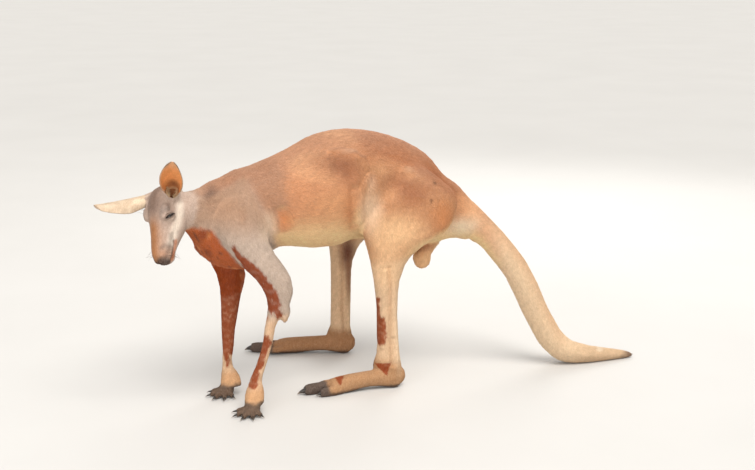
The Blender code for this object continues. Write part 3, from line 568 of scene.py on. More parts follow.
# %% Folds and hollows of the body
HIP_EDGE = [(-0.155, -0.208, 0.825), (-0.120, -0.195, 0.828), (-0.083, -0.182, 0.818),
            (-0.050, -0.178, 0.797), (-0.037, -0.185, 0.765)]
HOLLOW = [(-0.125, -0.217, 0.780), (-0.085, -0.210, 0.765)]
FLANK_FOLD = [(-0.030, -0.190, 0.735), (-0.050, -0.205, 0.695), (-0.054, -0.208, 0.644),
              (-0.054, -0.191, 0.589)]
KNEE_FOLD = [(-0.085, -0.215, 0.700), (-0.088, -0.212, 0.640), (-0.080, -0.195, 0.580)]
HIP_KNOB = [(0.090, -0.118, 0.742), (0.105, -0.116, 0.738)]
RUMP_FOLD = [(0.262, -0.130, 0.630), (0.245, -0.160, 0.576), (0.203, -0.187, 0.547), (0.149, -0.203, 0.524)]
ARMPIT = [(-0.315, -0.329, 0.650), (-0.300, -0.322, 0.605)]
ARM_FOLD = [(-0.345, -0.335, 0.665), (-0.325, -0.335, 0.620), (-0.325, -0.330, 0.575)]
# each with its reach and its height, in metres
FORMS = [(HIP_EDGE, 0.017, 0.0042), (HOLLOW, 0.050, -0.0075), (FLANK_FOLD, 0.019, 0.0050),
         (KNEE_FOLD, 0.032, -0.0060), (HIP_KNOB, 0.026, 0.0040), (RUMP_FOLD, 0.034, 0.0020),
         (ARMPIT, 0.034, -0.0050), (ARM_FOLD, 0.012, 0.0030)]
for path, reach, height in FORMS:
    push(soft(to_path(points, drawn_to_skin(path)), reach), height)
    push(soft(to_path(points, drawn_to_skin(far_side(path))), reach), height)
settle()

# %% Tendons of the legs and small wrinkles
TENDONS = [[(0.026, -0.213, 0.420), (0.016, -0.212, 0.330), (0.016, -0.208, 0.240), (0.014, -0.206, 0.150)],
           [(0.060, -0.205, 0.360), (0.066, -0.200, 0.260), (0.068, -0.200, 0.160), (0.070, -0.200, 0.100)],
           [(-0.140, 0.140, 0.400), (-0.150, 0.138, 0.300), (-0.152, 0.142, 0.180)],
           [(-0.100, 0.140, 0.340), (-0.105, 0.142, 0.240), (-0.108, 0.145, 0.140)]]
SHIN_GROOVE = [(0.039, -0.215, 0.430), (0.040, -0.212, 0.370), (0.040, -0.206, 0.280),
               (0.043, -0.207, 0.174), (0.052, -0.211, 0.085)]
FAR_SHIN = 0.168      # how far ahead of the near shin the far one stands


def groove_at(ahead, across):
    """The groove of the near shin, moved to another face of a shin."""
    return [(x - ahead, across, z) for x, _, z in SHIN_GROOVE]


GROOVES = [SHIN_GROOVE, groove_at(0.0, -0.150), groove_at(FAR_SHIN, 0.140), groove_at(FAR_SHIN, 0.200)]
TENDON_REACH, TENDON_HIGH = 0.010, 0.0022
GROOVE_REACH, GROOVE_DEEP = 0.0120, 0.0055
ANKLE_REACH, ANKLE_DEEP = 0.016, 0.0060
for path in TENDONS:
    push(soft(to_path(points, drawn_to_skin(path)), TENDON_REACH), TENDON_HIGH)
for path in GROOVES:
    groove = drawn_to_skin(path)
    push(soft(to_path(points, groove), GROOVE_REACH), -GROOVE_DEEP)
    behind_ankle = groove[-2:] + np.array((0.008, 0.0, 0.0))
    push(soft(to_path(points, behind_ankle), ANKLE_REACH), -ANKLE_DEEP)
wrinkled = drawn_to_skin([(-0.031, -0.191, 0.725), (-0.020, -0.185, 0.700)])
ACROSS_CREASES = np.array((0.5, 0.1, 0.85))
CREASE_APART = 0.011
creases = np.sin(wave(points, 0.05, 3) * 2.0 + (points @ ACROSS_CREASES) * 2.0 * math.pi / CREASE_APART)
push(soft(to_path(points, wrinkled), 0.035) * creases, 0.0008)
settle()
print("body modelled,", len(FORMS), "folds and hollows on each side")

# %% [markdown]
# The face comes next. Lids close over each eye to a long narrow opening, and the skin inside that
# opening is pushed in so far that the eyeball shows. A crease runs above the upper lid, wrinkles
# cross the brow, and a groove between two lips draws the mouth.

# %% The face
EYE_LOOK = (0.10, 0.52, 0.85)
SLIT_WAY = (-0.55, -0.68, 0.48)
SLIT_HALF = 0.0158     # half the length of the opening between the lids
SLIT_HIGH = 0.0037     # half its height
SLIT_ARCH = 0.0022     # how far its middle is arched up


def head_way(down, out, side):
    """A direction on the head."""
    return unit(DOWN * down + OUT * out + SIDE * side)


def eye_frame(hand):
    """Middle, look, corner-to-corner and height directions of an eye."""
    middle = on_head(EYE_AT[0], EYE_AT[1], hand * EYE_AT[2])
    look = head_way(EYE_LOOK[0], EYE_LOOK[1], hand * EYE_LOOK[2])
    corner = head_way(SLIT_WAY[0], SLIT_WAY[1], hand * SLIT_WAY[2])
    corner = unit(corner - look * (look @ corner))
    height = np.cross(look, corner)
    if height @ OUT < 0.0:
        height = -height
    return middle, look, corner, height


for hand in SIDES:
    middle, look, corner, height = eye_frame(hand)
    away = points - middle
    u, v, w = away @ corner, away @ height, away @ look
    ahead = step(w, 0.004, 0.010) * (np.linalg.norm(away, axis=1) < 0.045)
    arch = v - SLIT_ARCH * (1.0 - (u / SLIT_HALF) ** 2)
    ring = np.sqrt((u / SLIT_HALF) ** 2 + (arch / SLIT_HIGH) ** 2)
    upper_crease = np.abs(v - 0.0105 + 0.006 * (u / SLIT_HALF) ** 2)
    lower_crease = np.abs(v + 0.0085 - 0.005 * (u / SLIT_HALF) ** 2)
    near_corners = soft(u, 0.024)
    push(ahead * near_corners * soft(upper_crease, 0.0030), -0.0022)
    push(ahead * near_corners * soft(lower_crease, 0.0030), -0.0014)
    push(ahead * soft(ring - 1.35, 0.60) * (ring < 2.2), 0.0009)
    points = points - look * (ahead * (1.0 - step(ring, 0.78, 1.04)) * 0.0075)[:, None]
    for k in range(4):
        rise = 0.0165 + 0.0052 * k
        brow = [middle + corner * a + height * (rise - 0.30 * abs(a - 0.004)) + look * 0.010
                for a in np.linspace(-0.020, 0.020, 9)]
        push(soft(to_path(points, drawn_to_skin(brow)), 0.0030), -0.0013 + 0.0002 * k)
settle()

LIP_PATH = [(0.152, -0.0085, 0.0350), (0.160, -0.0100, 0.0350), (0.176, -0.0100, 0.0345),
            (0.196, -0.0090, 0.0325), (0.210, -0.0075, 0.0280), (0.221, -0.0062, 0.0205),
            (0.228, -0.0060, 0.0100), (0.2295, -0.0060, 0.0)]
lips = [on_head(*p) for p in LIP_PATH] + [on_head(p[0], p[1], -p[2]) for p in LIP_PATH[-2::-1]]
lips = drawn_to_skin(lips)
to_lips = to_path(points, lips)
push(soft(to_lips - 0.0042, 0.0035), 0.0011)
push(soft(to_lips, 0.0028), -0.0030)
for hand in SIDES:
    turn = (head_way(1.0, -0.3, 0.0), head_way(0.3, 1.0, hand * 0.55), head_way(-0.2, -0.5, hand))
    away = points - on_head(0.2225, 0.0160, hand * 0.0090)
    pit = np.sqrt(sum(((away @ way) / size) ** 2 for way, size in zip(turn, (0.0062, 0.0034, 0.0052))))
    push(soft(pit - 1.2, 0.6) * (pit < 1.9), 0.0007)
    points = points - turn[1] * (soft(pit, 1.15) * 0.0050)[:, None]
split = [on_head(0.2265, 0.010, 0.0), on_head(0.2300, 0.0, 0.0), on_head(0.2295, -0.006, 0.0)]
push(soft(to_path(points, drawn_to_skin(split)), 0.0022), -0.0014)
settle()
half_mouth = float(np.linalg.norm(lips[0] - lips[7]) * 1000)
print("face modelled, the mouth is", round(half_mouth), "mm from corner to middle")

# %% [markdown]
# ## The ears
# Each ear is a leaf rolled into a cup, open along its front. A flat grid bent by a formula gives
# both faces of the leaf, and the stump on the head is hollowed so that the cup has a bottom.

# %% Ears
EAR_ROOTS = {1.0: (0.014, 0.012, 0.046), -1.0: (0.018, 0.017, -0.046)}
EAR_WAYS = {1.0: (0.135, -0.745, 0.655), -1.0: (-0.960, 0.10, -0.280)}
EAR_CUPS = {1.0: (-0.12, -0.72, -0.68), -1.0: (0.10, -0.08, -1.00)}
EAR_SEAM = 0.026
EAR_LENGTH = 0.171
EAR_SHARES = (-0.20, 0.0, 0.12, 0.30, 0.50, 0.66, 0.82, 0.93, 1.0)
EAR_HALVES = (0.0185, 0.0196, 0.0235, 0.0314, 0.0362, 0.0352, 0.0277, 0.0182, 0.0050)
EAR_WRAPS = (150.0, 150.0, 135.0, 116.0, 92.0, 80.0, 74.0, 62.0, 38.0)
EAR_BENDS = {1.0: 0.010, -1.0: -0.012}
EAR_ROWS, EAR_COLUMNS = 64, 44


def ear_frame(hand):
    """Root, way along the ear, way into its cup, and way across it."""
    root = on_head(*EAR_ROOTS[hand])
    way = unit(EAR_WAYS[hand])
    cup = np.array(EAR_CUPS[hand])
    cup = unit(cup - way * (way @ cup))
    return root, way, cup, np.cross(way, cup)


def facing_out(corners, faces):
    """The faces of a closed form, turned over if they face inward."""
    away = corners - corners.mean(axis=0)
    volume = sum(away[face[0]] @ np.cross(away[face[1]], away[face[2]]) for face in faces)
    return faces if volume > 0.0 else [tuple(reversed(face)) for face in faces]


def ear_leaf(hand):
    """Points and faces, and for each point its share of the length and of the width, and its layer."""
    root, way, cup, across = ear_frame(hand)
    start = root + way * EAR_SEAM
    corners, along, wide, inner = [], [], [], []
    for layer in (0, 1):
        for i in range(EAR_ROWS + 1):
            t = EAR_SHARES[0] + (1.0 - EAR_SHARES[0]) * i / EAR_ROWS
            half_width = np.interp(t, EAR_SHARES, EAR_HALVES)
            wrap = math.radians(np.interp(t, EAR_SHARES, EAR_WRAPS))
            radius = half_width / math.sin(min(wrap, math.pi / 2.0))
            middle = start + way * (t * EAR_LENGTH) + cup * (EAR_BENDS[hand] * t * t - EAR_HALVES[1])
            for k in range(EAR_COLUMNS + 1):
                s = 2.0 * k / EAR_COLUMNS - 1.0
                thick = 0.0024 * (1.0 - 0.55 * t) * (1.0 - s ** 6) + 0.0004
                ripple = 0.0009 * math.sin(9.0 * s + 5.0 * t) * step(t, 0.0, 0.3)
                r = radius - layer * thick + ripple
                centre = middle + cup * radius
                corners.append(centre + across * (r * math.sin(wrap * s)) - cup * (r * math.cos(wrap * s)))
                along.append(t)
                wide.append(s)
                inner.append(layer)
    faces = []
    row = EAR_COLUMNS + 1
    sheet = row * (EAR_ROWS + 1)
    for i in range(EAR_ROWS):
        for k in range(EAR_COLUMNS):
            a = i * row + k
            quad = (a, a + 1, a + row + 1, a + row)
            faces.append(quad)
            faces.append(tuple(sheet + c for c in reversed(quad)))
    edge = list(range(row)) + [i * row + row - 1 for i in range(1, EAR_ROWS + 1)]
    edge += [EAR_ROWS * row + k for k in range(row - 2, -1, -1)]
    edge += [i * row for i in range(EAR_ROWS - 1, 0, -1)]
    for a, b in zip(edge, edge[1:] + edge[:1]):
        faces.append((b, a, sheet + a, sheet + b))
    corners = np.array(corners)
    return corners, facing_out(corners, faces), np.array(along), np.array(wide), np.array(inner)


for hand in SIDES:
    root, way, cup, across = ear_frame(hand)
    away = points - root
    rise = away @ way
    aside = np.linalg.norm(away - rise[:, None] * way, axis=1)
    well = soft(aside, 0.021) * step(rise, 0.008, 0.020) * (rise < 0.05)
    points = points - way * (well * 0.030)[:, None]
    turn = np.arctan2(away @ across, away @ cup)
    pleats = soft(aside - 0.024, 0.012) * soft(rise - 0.012, 0.020) * np.sin(turn * 7.0)
    push(pleats, 0.0014)
settle()
print("ears:", 2 * 2 * EAR_ROWS * EAR_COLUMNS, "faces")

# %% [markdown]
# The rim of each eyelid is a thin dark roll that follows the opening just over the eyeball.

# %% Rims of the lids
RIM_TURNS, RIM_SIDES = 56, 8
RIM_THICK = 0.00105


def on_slit(hand, angle, reach):
    """How far along the eye's opening an angle is, and the place there at a reach from the eye's middle."""
    middle, look, corner, height = eye_frame(hand)
    u = SLIT_HALF * 1.02 * math.cos(angle)
    v = SLIT_HIGH * 1.06 * math.sin(angle) + SLIT_ARCH * (1.0 - (u / SLIT_HALF) ** 2)
    ahead = math.sqrt(max(reach ** 2 - u * u - v * v, 0.0))
    return u, middle + corner * u + height * v + look * ahead


def lid_rim(hand):
    """Points and faces of a thin roll round the opening."""
    middle, _, corner, height = eye_frame(hand)
    corners = []
    for i in range(RIM_TURNS):
        angle = 2.0 * math.pi * i / RIM_TURNS
        spot = on_slit(hand, angle, EYE_RADIUS + 0.0006)[1]
        outward = unit(spot - middle)
        onward = height * math.cos(angle) * SLIT_HIGH - corner * math.sin(angle) * SLIT_HALF
        aside = unit(np.cross(outward, onward))
        for k in range(RIM_SIDES):
            roll = 2.0 * math.pi * k / RIM_SIDES
            corners.append(spot + (outward * math.cos(roll) + aside * math.sin(roll)) * RIM_THICK)
    faces = []
    total = RIM_TURNS * RIM_SIDES
    for i in range(RIM_TURNS):
        for k in range(RIM_SIDES):
            a, b = i * RIM_SIDES + k, i * RIM_SIDES + (k + 1) % RIM_SIDES
            faces.append((a, (a + RIM_SIDES) % total, (b + RIM_SIDES) % total, b))
    corners = np.array(corners)
    return corners, facing_out(corners, faces)


# %% [markdown]
# Skin, ears and lid rims become one mesh. Each point keeps the name of the part that it belongs to,
# because colour and coat differ from part to part.

# %% Join the skin
count = len(skin_mesh.polygons)
starts = np.empty(count, np.int32)
totals = np.empty(count, np.int32)
skin_mesh.polygons.foreach_get("loop_start", starts)
skin_mesh.polygons.foreach_get("loop_total", totals)
loops = np.empty(len(skin_mesh.loops), np.int32)
skin_mesh.loops.foreach_get("vertex_index", loops)
faces = [tuple(loops[s:s + t]) for s, t in zip(starts.tolist(), totals.tolist())]
ear_along = np.zeros(len(points))
ear_wide = np.zeros(len(points))
names = label.tolist()
tables = [points]
for hand, side in SIDES.items():
    corners, ear_faces, along, wide, inner = ear_leaf(hand)
    base = sum(len(t) for t in tables)
    tables.append(corners)
    faces += [tuple(base + c for c in face) for face in ear_faces]
    names += ["ear_in_" + side if layer else "ear_out_" + side for layer in inner]
    ear_along = np.concatenate((ear_along, along))
    ear_wide = np.concatenate((ear_wide, wide))
    corners, rim_faces = lid_rim(hand)
    base = sum(len(t) for t in tables)
    tables.append(corners)
    faces += [tuple(base + c for c in face) for face in rim_faces]
    names += ["lid_rim"] * len(corners)
    ear_along = np.concatenate((ear_along, np.zeros(len(corners))))
    ear_wide = np.concatenate((ear_wide, np.zeros(len(corners))))
points = np.concatenate(tables)
label = np.array(names)


def make_piece(name, points, faces):
    """A mesh object on the frame's root body, smooth shaded."""
    mesh = bpy.data.meshes.new(name)
    mesh.from_pydata((points + SHIFT).tolist(), [], faces)
    mesh.polygons.foreach_set("use_smooth", np.ones(len(mesh.polygons), bool))
    mesh.update()
    piece = bpy.data.objects.new(name, mesh)
    bpy.context.scene.collection.objects.link(piece)
    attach(piece, "root")
    return piece


skin = make_piece("skin", points, faces)
bpy.data.meshes.remove(skin_mesh)
skin_mesh = skin.data
edges = edges_of(skin_mesh)
normals = normals_of(skin_mesh, points + SHIFT)
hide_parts(*FLESH, "ear_left", "ear_right")
print("one skin of", len(points), "points")

# %% [markdown]
# ## Markings
# Every part of the coat has a colour of its own, and the colours run into each other: they are
# spread over the net by averaging, as wet paint runs. Then come the paler underside, which is partly the
# animal's pale belly and partly painted light bounced up from the floor, soft darker places, some of
# them painted shade in hollows, grooves and on the far legs, a painted highlight on the hip bone, and
# the sharp dark patches that the animal has licked wet.

# %% Colours of the coat
def paint(red, green, blue):
    """A colour given in 0 to 255, as the shader wants it."""
    share = np.array((red, green, blue)) / 255.0
    return np.where(share <= 0.04045, share / 12.92, ((share + 0.055) / 1.055) ** 2.4)


GROUND = {
    "head": paint(196, 178, 172), "neck": paint(170, 152, 144), "chest": paint(184, 140, 114),
    "belly": paint(212, 154, 116), "pelvis": paint(186, 124, 86), "thigh": paint(196, 144, 106),
    "shank": paint(224, 196, 168), "foot": paint(178, 140, 106), "toe": paint(86, 74, 72),
    "hand": paint(204, 164, 128), "forearm": paint(220, 190, 164), "upper": paint(194, 180, 174),
    "scrotum": paint(238, 196, 156), "tail": paint(230, 186, 154), "ear": paint(190, 172, 160),
    "lid": paint(34, 25, 22),
}
tone = np.array([GROUND[name.split("_")[0]] for name in label])
on_body = ~begins(label, "lid", "ear")
for _ in range(40):
    run = 0.5 * tone + 0.5 * neighbour_mean(tone, edges)
    tone = np.where(on_body[:, None], run, tone)

# %% Patches
def blend(mask, colour):
    """Lays a colour over the markings by a mask."""
    global tone
    mask = np.clip(mask, 0.0, 1.0)[:, None]
    tone = tone * (1.0 - mask) + np.asarray(colour) * mask


def part(*starts):
    """A mask of one on the named parts."""
    return begins(label, *starts).astype(float)


def spread_out(mask, rounds):
    """The mask, run out over its edge."""
    for _ in range(rounds):
        mask = 0.5 * mask + 0.5 * neighbour_mean(mask[:, None], edges)[:, 0]
    return mask


ragged = wave(points, 0.020, 11) * 0.5 + wave(points, 0.007, 12) * 0.35
cloud = wave(points, 0.11, 13)
trunk = spread_out(part("chest", "belly", "pelvis", "thigh", "neck", "tail_1"), 30)
# the underside is paler: partly the animal's own pale belly, partly painted light bounced up from the floor
under = step(-normals[:, 2], 0.0, 0.60)
blend(trunk * under * 0.95, paint(255, 224, 178))
upper = step(normals[:, 2], 0.35, 0.95)
blend(trunk * upper * 0.62, paint(184, 142, 120))
blend(trunk * step(cloud, 0.1, 1.2) * 0.35, paint(232, 186, 148))
blend(trunk * step(-cloud, 0.2, 1.2) * 0.30, paint(184, 122, 84))


def place(spot, reach):
    """A soft patch round a spot, with a reach along x, y and z."""
    away = np.linalg.norm((points - np.array(spot)) / np.array(reach), axis=1)
    return soft(away + ragged * 0.05, 1.0)


SOFT_PATCHES = [
    # name, spot, reach, colour, strength
    # painted shade in the hollow under the edge of the hip bone
    ("flank hollow", (-0.140, -0.215, 0.780), (0.150, 0.08, 0.068), paint(136, 80, 52), 0.72),
    ("flank hollow low", (-0.090, -0.205, 0.742), (0.070, 0.08, 0.060), paint(158, 98, 62), 0.45),
    ("low flank", (-0.200, -0.240, 0.660), (0.200, 0.09, 0.075), paint(238, 184, 138), 0.60),
    # painted shade round the bulge of the thigh under the hip
    ("hip", (0.062, -0.150, 0.716), (0.095, 0.09, 0.052), paint(146, 82, 46), 0.58),
    ("hip low", (0.118, -0.150, 0.676), (0.085, 0.09, 0.062), paint(140, 68, 26), 0.62),
    ("hip knob", (0.100, -0.115, 0.748), (0.026, 0.03, 0.020), paint(226, 188, 158), 0.35),
    ("rump", (0.210, -0.060, 0.690), (0.140, 0.12, 0.115), paint(164, 96, 56), 0.66),
    # a painted highlight along the raised edge of the hip bone
    ("hip edge", (-0.100, -0.188, 0.823), (0.070, 0.03, 0.012), paint(206, 170, 150), 0.45),
    ("wrinkles", (-0.020, -0.188, 0.722), (0.030, 0.05, 0.040), paint(228, 192, 170), 0.50),
    ("front of thigh", (-0.022, -0.190, 0.615), (0.062, 0.08, 0.125), paint(246, 222, 200), 0.75),
    ("flank fold", (-0.105, -0.215, 0.640), (0.035, 0.06, 0.110), paint(206, 134, 82), 0.60),
    ("low thigh", (0.060, -0.200, 0.545), (0.160, 0.06, 0.110), paint(246, 210, 170), 0.80),
    ("back of thigh", (0.215, -0.160, 0.600), (0.065, 0.08, 0.080), paint(206, 134, 80), 0.65),
    ("knee", (0.030, -0.200, 0.440), (0.090, 0.07, 0.120), paint(244, 208, 170), 0.70),
    ("heel tendon", (0.075, -0.200, 0.220), (0.026, 0.06, 0.220), paint(246, 226, 202), 0.75),
    ("armpit", (-0.305, -0.322, 0.620), (0.050, 0.05, 0.060), paint(224, 146, 92), 0.75),
    ("back of arm", (-0.350, -0.350, 0.600), (0.055, 0.06, 0.080), paint(240, 222, 206), 0.70),
    ("shoulder", (-0.480, -0.370, 0.680), (0.095, 0.07, 0.070), paint(172, 136, 112), 0.60),
    ("shoulder band", (-0.535, -0.350, 0.705), (0.034, 0.06, 0.056), paint(112, 90, 84), 0.78),
    ("shoulder band low", (-0.430, -0.385, 0.650), (0.020, 0.04, 0.045), paint(152, 118, 100), 0.55),
    ("withers", (-0.420, -0.250, 0.740), (0.150, 0.12, 0.070), paint(176, 142, 124), 0.50),
    ("root of the tail", (0.285, -0.010, 0.535), (0.095, 0.09, 0.062), paint(255, 240, 220), 0.90),
    ("tail top", (0.305, -0.005, 0.600), (0.115, 0.10, 0.075), paint(244, 190, 148), 0.75),
    # partly the darker orange-brown fur of the far leg, partly painted shade on it under the body, deepest in
    # its groove
    ("far leg", (-0.108, 0.125, 0.400), (0.050, 0.09, 0.125), paint(92, 36, 10), 0.95),
    ("far leg low", (-0.106, 0.140, 0.300), (0.018, 0.07, 0.130), paint(120, 66, 32), 0.75),
]
ON_BOTH_SIDES = ("flank hollow", "flank hollow low", "low flank", "hip", "hip low", "hip edge", "rump",
                 "front of thigh", "flank fold", "low thigh", "back of thigh", "knee")
for name, spot, reach, colour, strength in SOFT_PATCHES:
    blend(place(spot, reach) * strength, colour)
    if name in ON_BOTH_SIDES:
        blend(place(far_side([spot])[0], reach) * strength, colour)
blend(spread_out(part("upper_arm"), 8) * step(points[:, 2], 0.545, 0.655) * 0.72, paint(176, 140, 116))
# painted shade over the far foot and its toes
blend(spread_out(part("foot_right", "toe_big_right", "toe_outer_right"), 24) * 0.40, paint(144, 94, 58))
# the throat and breast are orange up to a slanting edge on the shoulder
front = part("chest", "neck", "upper_arm")
off_side = ((points - TRUNK_MIDDLE) @ ACROSS_TRUNK > 0.0) * step(normals @ ACROSS_TRUNK, 0.0, 0.5)
shoulder_edge = -0.547 + (0.628 - points[:, 2]) * 0.62 + 0.03 * off_side
breast = spread_out(front, 6) * (1.0 - step(points[:, 0] - shoulder_edge + ragged * 0.008, -0.008, 0.010))
breast *= 1.0 - step(points[:, 2] + ragged * 0.006 + 0.15 * (points[:, 0] + 0.6), 0.604, 0.624)
breast *= 1.0 - 0.85 * off_side
blend(breast * 0.97, paint(186, 90, 26))
blend(breast * step(wave(points, 0.035, 14), 0.1, 1.1) * 0.7, paint(138, 58, 12))
blend(breast * step(wave(points, 0.016, 15), 0.5, 1.2) * 0.75, paint(84, 38, 18))
blend(breast * step(wave(points, 0.022, 16), 0.7, 1.4) * 0.6, paint(222, 146, 90))
for spot in ((0.191, -0.133, 0.707), (0.179, -0.175, 0.654)):
    blend(place(spot, (0.008, 0.02, 0.008)) * 0.8, paint(84, 50, 34))

# %% [markdown]
# A kangaroo licks its forearms to keep cool, and the wet fur turns a deep red-brown with ragged
# edges. These patches are kept apart as their own mask, because wet fur also shines more.

# %% Wet patches
WET = paint(136, 58, 16)
NEAR_ARM_WET = [(-0.459, -0.399, 0.545), (-0.415, -0.403, 0.488), (-0.376, -0.402, 0.440),
                (-0.347, -0.405, 0.397), (-0.338, -0.408, 0.359), (-0.318, -0.406, 0.331)]
NEAR_FOREARM_WET = [(-0.361, -0.413, 0.245), (-0.376, -0.413, 0.195), (-0.393, -0.420, 0.143),
                    (-0.405, -0.428, 0.098)]
FAR_FOREARM_WET = [(-0.510, -0.225, 0.410), (-0.505, -0.240, 0.340), (-0.505, -0.250, 0.240),
                   (-0.507, -0.255, 0.190)]
wet = np.zeros(len(points))
flames = wave(points * np.array((1.0, 1.0, 0.28)), 0.0055, 24)


def wet_corner(corners, where):
    """A ragged wet triangle, given by three places seen from the side."""
    global wet
    inside = np.full(len(points), 9.0)
    flat = points[:, ::2]
    corners = [np.array(c) for c in corners]
    middle = sum(corners) / 3.0
    for a, b in zip(corners, corners[1:] + corners[:1]):
        across = unit(np.array((a[1] - b[1], b[0] - a[0])))
        across = across if (middle - a) @ across > 0.0 else -across
        inside = np.minimum(inside, (flat - a) @ across)
    inside = inside + ragged * 0.0022
    wet = np.maximum(wet, step(inside, -0.0012, 0.0012) * where * (normals[:, 1] < 0.1))


SQUEEZE = np.array((1.0, 0.4, 1.0))     # depth across the body counts for less
WET_EDGE = 0.0022


def wet_run(path, reach, where):
    """A ragged wet run along a path on the named parts."""
    global wet
    run = to_path(points * SQUEEZE, np.array(path) * SQUEEZE) + ragged * 0.0055 + flames * 0.0035
    wet = np.maximum(wet, (1.0 - step(run, reach - WET_EDGE, reach + WET_EDGE)) * where)


arm_left = part("upper_arm_left", "forearm_left")
arm_right = part("upper_arm_right", "forearm_right")
wet_run(NEAR_ARM_WET[:2], 0.010, arm_left)
wet_run(NEAR_ARM_WET[1:5], 0.025, arm_left)
wet_run(NEAR_ARM_WET[4:], 0.013, arm_left)
wet_run(NEAR_FOREARM_WET, 0.016, arm_left)
wet_run(FAR_FOREARM_WET, 0.050, arm_right)
wet_run([(-0.506, -0.255, 0.185), (-0.507, -0.262, 0.105)], 0.008, arm_right)
shin_left = part("shank_left", "foot_left")
wet_run([(-0.003, -0.200, 0.315), (0.000, -0.200, 0.250)], 0.011, shin_left)
wet_run([(0.009, -0.200, 0.243), (0.010, -0.200, 0.174)], 0.018, shin_left)
wet_corner([(-0.012, 0.089), (0.048, 0.094), (0.034, 0.050)], shin_left)
forefoot_left = part("foot_left", "toe")
wet_corner([(-0.160, 0.062), (-0.104, 0.068), (-0.124, 0.036)], forefoot_left)
wet = wet * (1.0 - 0.6 * step(wave(points, 0.0050, 22) + wave(points, 0.013, 23), 1.6, 1.9))
blend(wet * (0.95 - 0.18 * np.clip(wave(points, 0.009, 21), 0.0, 1.0)), WET)
damp_arm = part("upper_arm_right") * (1.0 - step(points[:, 2] + ragged * 0.01, 0.46, 0.60))
blend(damp_arm * (1.0 - 0.7 * off_side) * (1.0 - wet) * 0.6, paint(172, 92, 48))
# painted shade along the grooves between shin and heel tendon, on the near and the far shin
for path in GROOVES[:1] + GROOVES[2:3]:
    groove = soft(to_path(points, drawn_to_skin(path)), 0.011)
    blend(groove * (1.0 - wet) * 0.28, paint(176, 128, 92))

# %% Face, ears, paws and tail
from_poll = points - POLL
face_down, face_out = from_poll @ DOWN, from_poll @ OUT
aside = np.abs(from_poll @ SIDE)
on_face = part("head")
bridge = soft(aside, 0.042) * step(face_down, 0.05, 0.12) * step(face_out, 0.005, 0.03)
blend(on_face * bridge * 0.94, paint(172, 116, 70))
forehead = soft(aside, 0.066) * (1.0 - step(face_down, 0.045, 0.11)) * step(face_out, -0.012, 0.020)
blend(on_face * forehead * 0.9, paint(122, 98, 88))
# paths on the cheek, as places down and out on the head
DARK_STRIPE = [(0.203, 0.016), (0.185, 0.010), (0.168, 0.003), (0.150, 0.000), (0.134, 0.005)]
PAD = [(0.196, 0.018), (0.184, 0.004), (0.196, -0.006)]
PAD_EDGE = [(0.176, 0.030), (0.168, 0.016), (0.169, 0.003), (0.182, -0.008), (0.196, -0.014)]
WHITE_STRIPE = [(0.180, -0.002), (0.150, -0.004), (0.120, -0.004), (0.090, -0.008), (0.060, -0.012),
                (0.040, -0.010)]


def on_both_cheeks(path, reach):
    """A soft mask along a path, on both sides of the face."""
    run = np.full(len(points), 9.0)
    for (d0, o0), (d1, o1) in zip(path, path[1:]):
        a, b = np.array((d0, o0)), np.array((d1, o1))
        flat = np.stack((face_down, face_out), axis=1)
        t = np.clip((flat - a) @ (b - a) / ((b - a) @ (b - a)), 0.0, 1.0)
        run = np.minimum(run, np.linalg.norm(flat - a - t[:, None] * (b - a), axis=1))
    return on_face * soft(run + ragged * 0.0015, reach) * step(aside, 0.012, 0.022)


blend(on_both_cheeks(WHITE_STRIPE, 0.026), paint(248, 240, 236))
blend(on_both_cheeks(PAD, 0.024) * 0.65, paint(186, 142, 116))
blend(on_both_cheeks(DARK_STRIPE, 0.0135) * 0.45, paint(88, 70, 64))
blend(on_both_cheeks(PAD_EDGE, 0.0125) * 0.42, paint(88, 70, 64))
blend(on_face * soft(aside, 0.05) * (1.0 - step(face_out, -0.055, -0.02)) * 0.7, paint(192, 174, 166))
muzzle_end = step(face_down + ragged * 0.002, 0.196, 0.216)
muzzle_dark = on_face * muzzle_end * (1.0 - step(np.abs(face_out - 0.012), 0.014, 0.026))
blend(muzzle_dark * 0.9, paint(54, 40, 36))
mouth_line = soft(to_path(points, lips), 0.0072) * on_face
blend(mouth_line * 0.85, paint(62, 44, 38))
lip_warm = soft(to_path(points, np.array(lips[:5]) - OUT * 0.009), 0.011) * on_face
blend(lip_warm * 0.75, paint(196, 112, 56))
for hand in SIDES:
    middle, look, corner, height = eye_frame(hand)
    away = points - middle
    u, v = away @ corner, away @ height
    front = step(away @ look, 0.002, 0.010) * on_face
    ring = np.sqrt((u / 0.031) ** 2 + ((v - 0.001) / 0.0135) ** 2)
    blend(front * soft(ring, 1.0) * 0.92, paint(56, 40, 35))
    # the grey of the brow, darker in stripes: painted shade in the creases of its wrinkles
    wrinkles = 0.5 + 0.5 * np.sin(v * 2.0 * math.pi / 0.0060 + wave(points, 0.02, 25))
    brow = front * soft(v - 0.024, 0.016) * soft(u, 0.034)
    blend(brow * (0.35 + 0.35 * wrinkles), paint(152, 144, 146))
    pale = np.sqrt((u / 0.040) ** 2 + ((v - 0.001) / 0.020) ** 2)
    blend(front * soft(pale - 0.95, 0.35) * (v < 0.004) * 0.6, paint(236, 228, 222))

for hand in SIDES:
    root, way, cup, across = ear_frame(hand)
    away = points - root
    rise = away @ way
    bottom = np.linalg.norm(away - rise[:, None] * way, axis=1) < 0.0185
    blend(on_face * bottom * (rise > -0.012) * (rise < 0.03) * 0.95, paint(188, 126, 82))
    # painted shade deep in the well at the root of each ear
    deep = soft(np.linalg.norm(away - way * rise[:, None] - across * 0.004, axis=1), 0.010)
    blend(on_face * deep * (rise > -0.030) * (rise < 0.03) * 0.9, paint(70, 40, 26))
ear_in = part("ear_in")
ear_out = part("ear_out")
blend(ear_in, paint(242, 168, 106))
